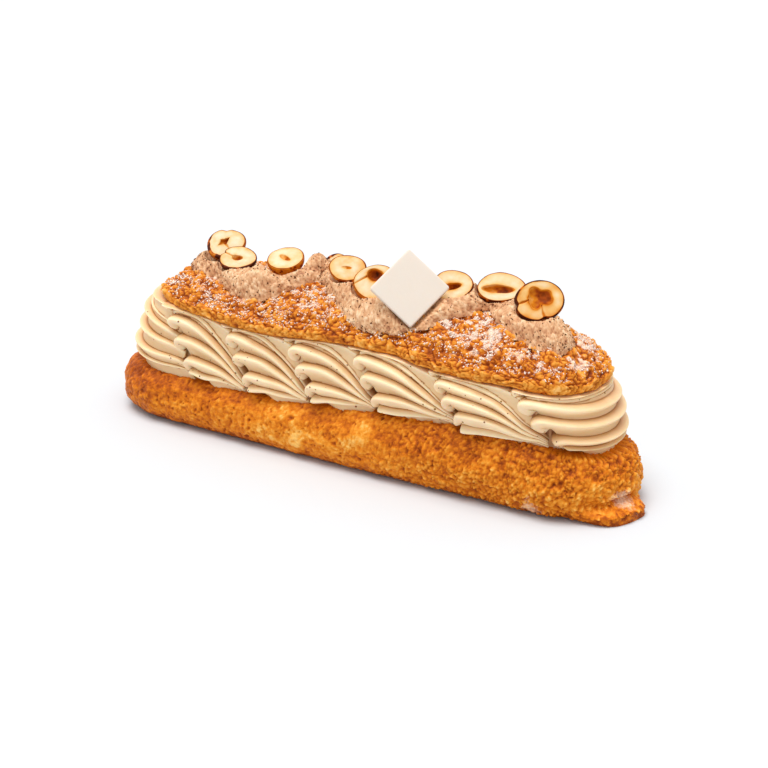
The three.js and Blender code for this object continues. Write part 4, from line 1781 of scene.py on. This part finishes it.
HAZELNUTS = (
    Hazelnut(1, (-47.4, -0.5, 46.0), (10.4, 8.8), 30, 52, 20, Hollow.DIAMOND, 0.4, 0.12, 28,
             hollow_at=(-0.2, 0.5), toast=0.65, skin=0.9, splits=(-75,), notches=(72,),
             bed=(0.42, 9), lap=(185, 0.2)),
    Hazelnut(2, (-40.2, -4.8, 44.2), (9.8, 7.9), 40, 58, 8, Hollow.ROUND, 0.27, 0.14, 0,
             toast=0.35, skin=1.0, splits=(135,), notches=(135,), bed=(0.4, 20), lap=(262, 0.16)),
    Hazelnut(3, (-27.0, -2.0, 45.7), (9.6, 9.6), 15, 70, -8, Hollow.SLIT, 0.42, 0.06, -21,
             toast=0.4, skin=0.15, bed=(0.5, 14)),
    Hazelnut(4, (-6.6, -4.0, 47.0), (9.6, 7.6), 25, 48, -6, Hollow.SLIT, 0.3, 0.04, 0,
             toast=0.1, roast=0.07, skin=0.3, bed=(0.35, 9)),
    Hazelnut(5, (-14.0, 3.0, 44.2), (9.0, 7.4), 20, 50, -35, Hollow.ROUND, 0.24, 0.12, 0,
             toast=0.4, skin=1.0, lap=(200, 0.25), bed=(-0.5, 22)),
    Hazelnut(6, (3.9, -7.8, 46.2), (11.0, 9.0), 40, 48, 35, Hollow.ROUND, 0.38, 0.2, -45,
             hollow_at=(1.5, 1.2), toast=0.95, skin=0.15, splits=(150,)),
    Hazelnut(7, (22.0, -0.9, 46.6), (9.8, 8.8), 30, 50, 15, Hollow.SLIT, 0.52, 0.18, 0,
             hollow_at=(-0.4, -0.4), toast=0.8, skin=0.5),
    Hazelnut(8, (33.0, 3.5, 46.9), (11.8, 8.8), 28, 54, 4, Hollow.SLIT, 0.68, 0.16, -8,
             hollow_at=(-0.8, -0.6), toast=0.7, skin=0.6),
    Hazelnut(9, (45.5, -0.5, 46.8), (12.2, 10.2), 36, 36, 12, Hollow.STAR, 0.62, 0.12, 30,
             hollow_at=(0.3, 0.6), toast=0.75, roast=0.15, skin=0.75, splits=(178, -85),
             notches=(-85, 178), bed=(0.14, 22), lap=(123, 0.14)),
)


@dataclass(frozen=True)
class Tile(Laid):
    """White chocolate square that stands on one corner in the paste."""

    side: float = 13.6
    thickness: float = 2.0
    bevel: float = 0.35
    corner: float = 0.5
    middle: tuple[float, float, float] = (15.8, -10.1, 47.1)
    facing: float = 35
    tilt: float = 30
    roll: float = 45
    side_points: int = 28
    corner_points: int = 6
    bevel_rows: int = 6
    face_rows: int = 18
    shade: float = 0.7
    bow: float = 0.12
    bow_turn: float = 3
    wobble: Noise = Noise(5, 1, 510)
    wobble_size: float = 0.05
    bed_below: float = 0.3
    bed_rise: float = 11

    def outline(self) -> tuple[Array, Array]:
        """Square with rounded corners: one side and one quarter circle, turned four times.

        Returns:
            Points round the outline and their outward directions.
        """
        flat = self.side / 2 - self.corner
        steps = np.linspace(-flat, flat, self.side_points, endpoint=False)
        arc = np.linspace(0, math.pi / 2, self.corner_points, endpoint=False)
        edge = np.stack([np.full_like(steps, self.side / 2), steps], axis=-1)
        bend = np.stack([np.cos(arc), np.sin(arc)], axis=-1)
        quarter = np.concatenate([edge, flat + self.corner * bend])
        ahead = np.concatenate([np.tile([1.0, 0.0], (len(steps), 1)), bend])
        turns = [np.array([[math.cos(a), math.sin(a)], [-math.sin(a), math.cos(a)]])
                 for a in np.arange(4) * math.pi / 2]
        return np.concatenate([quarter @ t for t in turns]), np.concatenate([ahead @ t for t in turns])

    def patch(self) -> Patch:
        """Closed plate: front face, rounded edge, side and back face, bowed by a shallow cosine.

        Returns:
            The placed plate with its shade value.
        """
        loop, outward = self.outline()
        half = self.thickness / 2
        bend = np.linspace(0, math.pi / 2, self.bevel_rows)
        face = np.linspace(0, 1, self.face_rows, endpoint=False)
        inwards, downwards = self.bevel * (1 - np.sin(bend)), self.bevel * (1 - np.cos(bend))
        inset = np.concatenate([inwards, downwards])
        high = np.concatenate([half - downwards, inwards - half])
        ring = loop[None] - outward[None] * inset[:, None, None]
        front = ring[0][None] * face[:, None, None]
        rear = ring[-1][None] * face[::-1][:, None, None]
        flat = np.concatenate([front, ring, rear])
        z = np.concatenate([np.full(len(face), half), high, np.full(len(face), -half)])[:, None]
        wobble = self.wobble.at(stacked(flat[..., 0], flat[..., 1], 0.0))
        bow = self.bow * np.cos(flat[..., 0] / self.side * self.bow_turn) + self.wobble_size * wobble
        points = np.concatenate([flat, (z + bow)[..., None]], axis=-1)
        shade = self.shade + 0 * flat[..., 0]
        return Patch(points @ self.turn().T + np.array(self.middle), {"shade": shade})

    def seat(self) -> Seat:
        """The front face as the paste meets it."""
        half, below = self.side / 2, self.thickness / 2 + self.bed_below
        return Seat(self.middle, self.turn(), half, half, below, self.bed_rise, square=True)

    def dress(self) -> bpy.types.Object:
        """Builds the tile and hangs it on the frame.

        Returns:
            The tile.
        """
        piece = patch_piece("white_chocolate_tile", self.patch(), TILE_CHOCOLATE.material())
        stand_for(piece, "white_chocolate", "chocolate_tile")
        return piece


@dataclass(frozen=True)
class Studio:
    """Pale floor, soft light from above, a little to the left and front, and a camera."""

    azimuth: float = 33
    elevation: float = 21
    distance: float = 450
    focal_px: float = 1772
    image_px: float = 768
    sensor_mm: float = 36
    target: tuple[float, float, float] = (1.95, 0, 16.5)
    floor_half_m: float = 6.0
    floor_drop_mm: float = 0.05
    floor_colour: str = "d2d5d8"
    floor_roughness: float = 0.9
    clip_m: Range = (0.01, 50)
    sky: float = 0.8
    key: float = 2.45
    key_turn: tuple[float, float, float] = (8, -6, -8)
    key_angle: float = 40

    def build(self) -> None:
        """Makes the floor, the lights and the camera."""
        half, level = self.floor_half_m, -self.floor_drop_mm * MM
        corners = [(-half, -half, level), (half, -half, level), (half, half, level), (-half, half, level)]
        mesh = bpy.data.meshes.new("studio_floor")
        mesh.from_pydata(corners, [], [(0, 1, 2, 3)])
        floor = make_piece(mesh, self.floor_paint())
        world = bpy.data.worlds.new("soft_studio")
        world.use_nodes = True
        sky = world.node_tree.nodes["Background"].inputs
        sky["Color"].default_value = (1, 1, 1, 1)
        sky["Strength"].default_value = self.sky
        bpy.context.scene.world = world
        lamp = bpy.data.lights.new("key_softbox", "SUN")
        lamp.energy = self.key
        lamp.angle = math.radians(self.key_angle)
        key = bpy.data.objects.new("key_softbox", lamp)
        key.rotation_euler = tuple(math.radians(a) for a in self.key_turn)
        bpy.context.scene.collection.objects.link(key)
        bpy.context.scene.view_settings.view_transform = "Standard"
        self.camera()

    def floor_paint(self) -> bpy.types.Material:
        """Matt white paper of the studio floor.

        Returns:
            The material.
        """
        paint = bpy.data.materials.new("matt_white_paper")
        paint.use_nodes = True
        shader = paint.node_tree.nodes["Principled BSDF"]
        shader.inputs["Base Color"].default_value = linear(self.floor_colour)
        shader.inputs["Roughness"].default_value = self.floor_roughness
        return paint

    def camera(self) -> None:
        """Aims the camera at the target from its azimuth and elevation."""
        turn, rise = math.radians(self.azimuth), math.radians(self.elevation)
        back = Vector((math.sin(turn) * math.cos(rise), -math.cos(turn) * math.cos(rise), math.sin(rise)))
        lens = bpy.data.cameras.new("camera")
        lens.sensor_width = self.sensor_mm
        lens.lens = self.focal_px / self.image_px * self.sensor_mm
        eye = bpy.data.objects.new("camera", lens)
        eye.location = (Vector(self.target) + back * self.distance) * MM
        eye.rotation_mode = "QUATERNION"
        eye.rotation_quaternion = (-back).to_track_quat("-Z", "Y")
        lens.clip_start, lens.clip_end = self.clip_m
        bpy.context.scene.collection.objects.link(eye)
        bpy.context.scene.camera = eye


def main() -> None:
    """Builds the pastry piece by piece, then the studio round it."""
    logging.basicConfig(level=logging.INFO, format="%(name)s %(message)s")
    base, lid = Base(), Lid()
    tile = Tile()
    rope = Rope(lid, tuple(nut.seat() for nut in HAZELNUTS) + (tile.seat(),))
    base.dress()
    Cream(base, lid).dress()
    lid.dress(rope)
    rope.dress()
    kernel = KERNEL.material()
    for nut in HAZELNUTS:
        nut.dress(kernel)
    tile.dress()
    Studio().build()


if __name__ == "__main__":
    main()
